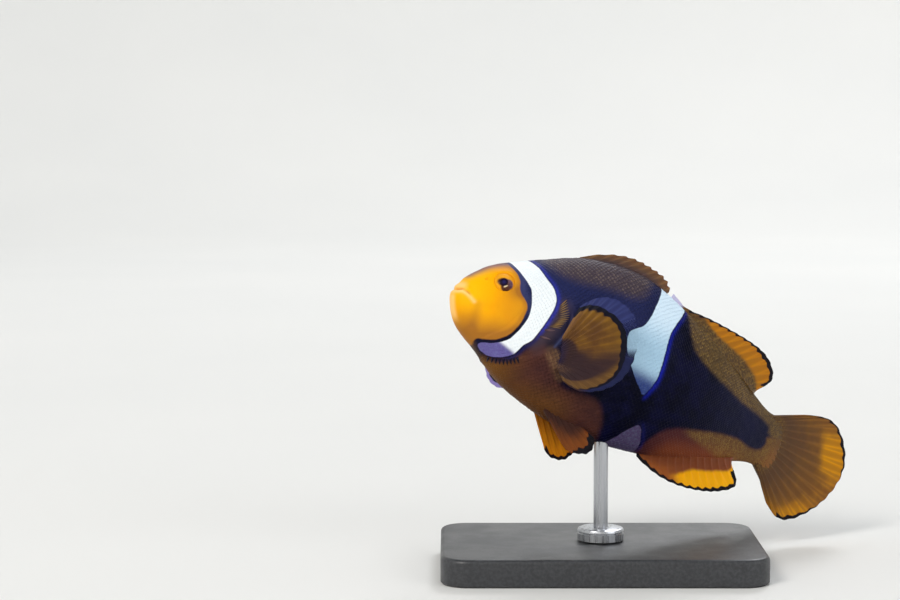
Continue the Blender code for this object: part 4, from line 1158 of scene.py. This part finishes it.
def metal_material():
    s = Shading("brushed_rod", {"Metallic": 1.0})
    brushed = s.noise(1400.0, 4.0, stretch=(1, 1, 0.02))
    colour = s.mix(brushed, (150, 152, 158), (206, 208, 212))
    return s.done(colour, brushed, 0.15, Roughness=s.ramp(brushed, 0.25, 0.75, 0.20, 0.42))


def base_material():
    s = Shading("charcoal_paint", {"Coat Weight": 0.1, "Coat Roughness": 0.3})
    grain = s.noise(1800.0, 5.0)
    colour = s.mix(s.ramp(grain, 0.35, 0.70), (38, 39, 42), (54, 55, 59))
    return s.done(colour, grain, 0.25, Roughness=s.ramp(s.noise(120.0), 0.3, 0.7, 0.38, 0.52))


# -------------------- stand
POLE = 0.001                # the radius that stands for a point on the axis
ROD_SIDES = 72


def turned(outline, sides, centre=(0, 0)):
    """Rings of points, from the (radius, height) points of an outline turned about an upright axis."""
    radius, height = np.array(outline, float).T[:, :, None]
    angles = np.arange(sides) * 2 * math.pi / sides
    return np.stack([radius * np.cos(angles) + centre[0], radius * np.sin(angles) + centre[1],
                     height + np.zeros(sides)], axis=-1)


def turned_piece(name, outline):
    """A closed ring or solid turned about the rod's axis, from (radius, height) points in millimetres."""
    points = turned(outline, ROD_SIDES, rod_axis)
    first = np.arange(points[..., 0].size).reshape(-1, ROD_SIDES)
    second = np.roll(first, -1, axis=0)
    quads = np.stack([first, np.roll(first, -1, axis=1), np.roll(second, -1, axis=1), second], axis=-1)
    piece = make_mesh(name, points.reshape(-1, 3) * MM, [quads.reshape(-1, 4)])
    piece.data.set_sharp_from_angle(angle=math.radians(35))
    return piece


BASE_CORNER = 5.0           # radius of the base's upright edges
BASE_EDGE = 0.8             # its rounding along the top; the chamfer below is half as wide
ROD_CHAMFER = 0.3
COLLAR_GROOVE = 0.12


def base_piece():
    """The base plate: layers of one rounded rectangle, drawn in at the bottom and round the top edge."""
    low, high = in_millimetres(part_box("stand_base"))
    middle, half = (low + high)[:2] / 2, (high - low)[:2] / 2
    turn = np.radians([np.linspace(start, start + 90, 17) for start in (0, 90, 180, 270)])
    corner_at = np.array([(1, 1), (-1, 1), (-1, -1), (1, -1)])[:, None] * (half - BASE_CORNER) + middle
    rounding = np.radians(np.linspace(0, 90, 7))
    layers = [(BASE_EDGE * 0.5, low[2]), (0, low[2] + BASE_EDGE * 0.5)]
    layers += [(BASE_EDGE - BASE_EDGE * math.cos(a), high[2] - BASE_EDGE + BASE_EDGE * math.sin(a))
               for a in rounding]
    points = []
    for inset, z in layers:
        flat = corner_at + (BASE_CORNER - inset) * np.stack([np.cos(turn), np.sin(turn)], axis=-1)
        points.append([(x, y, z) for x, y in flat.reshape(-1, 2)])
    rows, columns = np.shape(points)[:2]
    caps = [np.arange(columns)[::-1], (rows - 1) * columns + np.arange(columns)]
    faces = [grid_faces(rows, columns, wrap=True), *caps]
    base = make_mesh("base_plate", np.reshape(points, (-1, 3)) * MM, faces)
    base.data.set_sharp_from_angle(angle=math.radians(30))
    return base


def stand_pieces():
    """Each stand piece, keyed by the node it stands for, with its slot and material."""
    base = base_piece()
    radius = (rod_high - rod_low)[0] / 2
    foot, top = rod_low[2], rod_high[2]
    rod = turned_piece("steel_rod", [
        (POLE, foot), (radius, foot), (radius, top - ROD_CHAMFER), (radius - ROD_CHAMFER, top), (POLE, top)])
    ring_low, ring_high = in_millimetres(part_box("stand_collar"))
    outer = (ring_high - ring_low)[0] / 2
    inner, bore = outer - COLLAR_GROOVE, radius + 0.02
    floor, roof = ring_low[2], ring_high[2]
    collar = turned_piece("rod_collar", [
        (bore, floor), (outer, floor), (outer, floor + 1.2), (inner, floor + 1.32), (inner, floor + 1.46),
        (outer, floor + 1.58), (outer, roof - 0.5), (outer - 0.15, roof - 0.15), (outer - 0.5, roof),
        (bore + 0.2, roof), (bore, roof - 0.2)])
    steel = metal_material()
    return {"stand_base": (base, "stand_base", base_material()), "stand_rod": (rod, "stand_steel", steel),
            "stand_collar": (collar, "stand_steel", steel)}


# -------------------- studio
# Of the floor, in metres: its flat radius, the radius of its sweep and the height of the wall.
FLOOR, SWEEP, WALL = 0.95, 0.5, 0.9
FLOOR_SIDES = 96
TARGET = (0, 0, 0.035)
# Each lamp: its place, size and power, and its tint.
LAMPS = {
    "key": ((-0.75, -0.95, 1.05), 0.60, 12.0, (1.0, 0.97, 0.93)),
    "fill": ((1.10, -0.80, 0.45), 0.80, 5.0, (0.93, 0.96, 1.0)),
    "rim": ((0.30, 1.00, 0.95), 0.50, 7.0, (0.95, 0.97, 1.0)),
}


def studio():
    """A pale floor that sweeps up into a pale wall all round, and soft lights."""
    outline = [(POLE, 0), (FLOOR * 0.5, 0), (FLOOR, 0)]
    outline += [(FLOOR + SWEEP * math.sin(a), SWEEP - SWEEP * math.cos(a))
                for a in np.radians(np.linspace(0, 90, 13))[1:]]
    outline.append((FLOOR + SWEEP, SWEEP + WALL))
    faces = grid_faces(len(outline), FLOOR_SIDES, wrap=True)[:, ::-1]
    floor = make_mesh("studio_floor", turned(outline, FLOOR_SIDES).reshape(-1, 3), [faces])
    s = Shading("studio_paper", {"Roughness": 0.85})
    paper = s.mix(s.noise(6.0, 2.0), (222, 222, 220), (230, 229, 226))
    s.join(paper, s.shader.inputs["Base Color"])
    floor.data.materials.append(s.material)
    for name, (place, size, power, tint) in LAMPS.items():
        lamp = bpy.data.lights.new(name, "AREA")
        lamp.shape = "DISK"
        lamp.size = size
        lamp.energy = power
        lamp.color = tint
        item = add_object(name, lamp)
        item.location = place
        item.rotation_euler = (Vector(TARGET) - Vector(place)).to_track_quat("-Z", "Y").to_euler()
    world = bpy.data.worlds.new("studio_light")
    world.use_nodes = True
    background = world.node_tree.nodes["Background"]
    background.inputs["Color"].default_value = (0.88, 0.92, 0.96, 1)
    background.inputs["Strength"].default_value = 0.50
    bpy.context.scene.world = world
    bpy.context.scene.view_settings.view_transform = "Standard"


CAMERA_DISTANCE = 445.0
LENS, SENSOR_WIDTH = 100, 36
CAMERA_HEIGHT = math.radians(5.0)
SNOUT_IN_PICTURE = (0.36, 1.25)     # right of and above the picture's middle, in millimetres at the snout


def camera():
    """Looks slightly down along +Y, with the snout near the picture's middle."""
    toward = np.array([0, -math.cos(CAMERA_HEIGHT), math.sin(CAMERA_HEIGHT)])
    up = np.array([0, math.sin(CAMERA_HEIGHT), math.cos(CAMERA_HEIGHT)])
    right = np.array([1, 0, 0])
    place = SNOUT + toward * CAMERA_DISTANCE - right * SNOUT_IN_PICTURE[0] - up * SNOUT_IN_PICTURE[1]
    data = bpy.data.cameras.new("camera")
    data.lens = LENS
    data.sensor_width = SENSOR_WIDTH
    data.clip_start = 0.01
    item = add_object("camera", data)
    item.location = place * MM
    item.rotation_euler = (math.pi / 2 - CAMERA_HEIGHT, 0, 0)
    bpy.context.scene.camera = item


# -------------------- assembly
def finish_piece(piece, slot, material, *nodes):
    """Gives a piece its material, and hides the nodes it is shown in place of; the slot is not used."""
    piece.data.materials.append(material)
    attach(piece, "root")
    if nodes:
        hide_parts(*nodes)


studio()
camera()

SIDES = ((1, "left"), (-1, "right"))
skin = Skin()
flesh = ("head", "lower_jaw", "gill_cover_left", "gill_cover_right", "trunk", "tail")
skin_look = body_material("fish_skin", 0.08, (700.0, 4.0), (0.38, 0.52), (3800.0, 4.0), (0.35, 0.00004))
finish_piece(skin_piece(skin), "skin", skin_look, *flesh)

places = scale_places(skin)
scales = body_material("fish_scale", 0.05, (1500.0, 3.0), (0.36, 0.50), (5200.0, 3.0), (0.25, 0.00003))
for index, quarter in enumerate(("left_low", "left_high", "right_high", "right_low")):
    rooted = places[np.floor(places[:, 1] % 1 * 4).astype(int) == index]
    ahead = rooted[:, 0] < np.median(rooted[:, 0])
    for end, chosen, seed in (("front", ahead, 11), ("rear", ~ahead, 21)):
        piece = scale_piece("scales_%s_%s" % (quarter, end), skin, rooted[chosen], seed + index)
        finish_piece(piece, "skin", scales)


def between(roots, tips, count):
    """Spines spread evenly along the lines of their roots and tips."""
    share = np.linspace(0, 1, count)
    return list(zip(curve(roots)(share), curve(tips)(share)))


comb = between(COMB_ROOTS, COMB_TIPS, COMB_SPINES)
fringe = between(FRINGE_ROOTS, FRINGE_TIPS, FRINGE_SPINES)
golden = spine_material("gill_spine_gold", (72, 56, 58), (120, 98, 74), (140, 106, 60))
mauve = spine_material("gill_spine_mauve", (66, 50, 60), (96, 74, 80), (104, 82, 88))
black = spine_material("gill_spine_black", (22, 16, 40), (20, 14, 30), (26, 18, 34))
# Each set of spines: its look, its lines, and their width, height, seed and shape.
GILL_SPINES = {
    "gill_comb_": (golden, comb, 0.17, 0.20, 31, False),
    "gill_soft_comb_": (mauve, SOFT_COMB, 0.30, 0.16, 33, False),
    "gill_fringe_": (black, fringe, 0.26, 0.20, 37, True),
}
for side, word in SIDES:
    for name, (look, *shape) in GILL_SPINES.items():
        finish_piece(spine_piece(name + word, skin, side, *shape), "skin", look)

# Each rayed fin's membrane: inner, outer and bright colours, how dark the webs are, how far out scales
# cover its root, and whether it is pale at the front.
MEMBRANES = {
    "dorsal_fin_spiny": ("spiny_dorsal", (74, 58, 62), (124, 90, 56), (150, 104, 50), 0.45),
    "dorsal_fin_soft": ("soft_dorsal", (78, 57, 38), (100, 70, 36), (184, 118, 16), 0.25, 0.8, True),
    "anal_fin": ("anal", (130, 70, 42), (150, 82, 34), (255, 178, 0), 0.08),
    "caudal_fin": ("tail", (92, 65, 44), (126, 84, 36), (204, 138, 8), 0.40, 0.35),
    # The near pelvic fin: the far one's orange, darkened brown by painted shadow of the body.
    "pelvic_fin_left": ("left_pelvic", (56, 30, 24), (120, 64, 22), (150, 90, 20), 0.20),
    "pelvic_fin_right": ("right_pelvic", (158, 92, 4), (198, 122, 2), (220, 140, 6), 0.20),
}
# Each pectoral fin's clear margin: webs, rays, the lower part and the lower end.
CLEAR_MARGINS = {
    "pectoral_fin_left": ("left_pectoral", (42, 47, 92), (50, 57, 106), (28, 32, 66), (62, 40, 37)),
    "pectoral_fin_right": (
        "right_pectoral", (126, 112, 174), (156, 140, 200), (134, 120, 180), (134, 120, 180)),
}
fin_looks = {node: make(name + "_membrane", *look)
             for make, looks in ((fin_material, MEMBRANES), (pectoral_material, CLEAR_MARGINS))
             for node, (name, *look) in looks.items()}
for node, piece in fins().items():
    finish_piece(piece, "fin", fin_looks[node], node)

eye_look = eye_material()
for side, word in SIDES:
    finish_piece(eye_piece("eyeball_" + word, side), "eye", eye_look, "eye_" + word)

for node, (piece, slot, material) in stand_pieces().items():
    finish_piece(piece, slot, material, node)
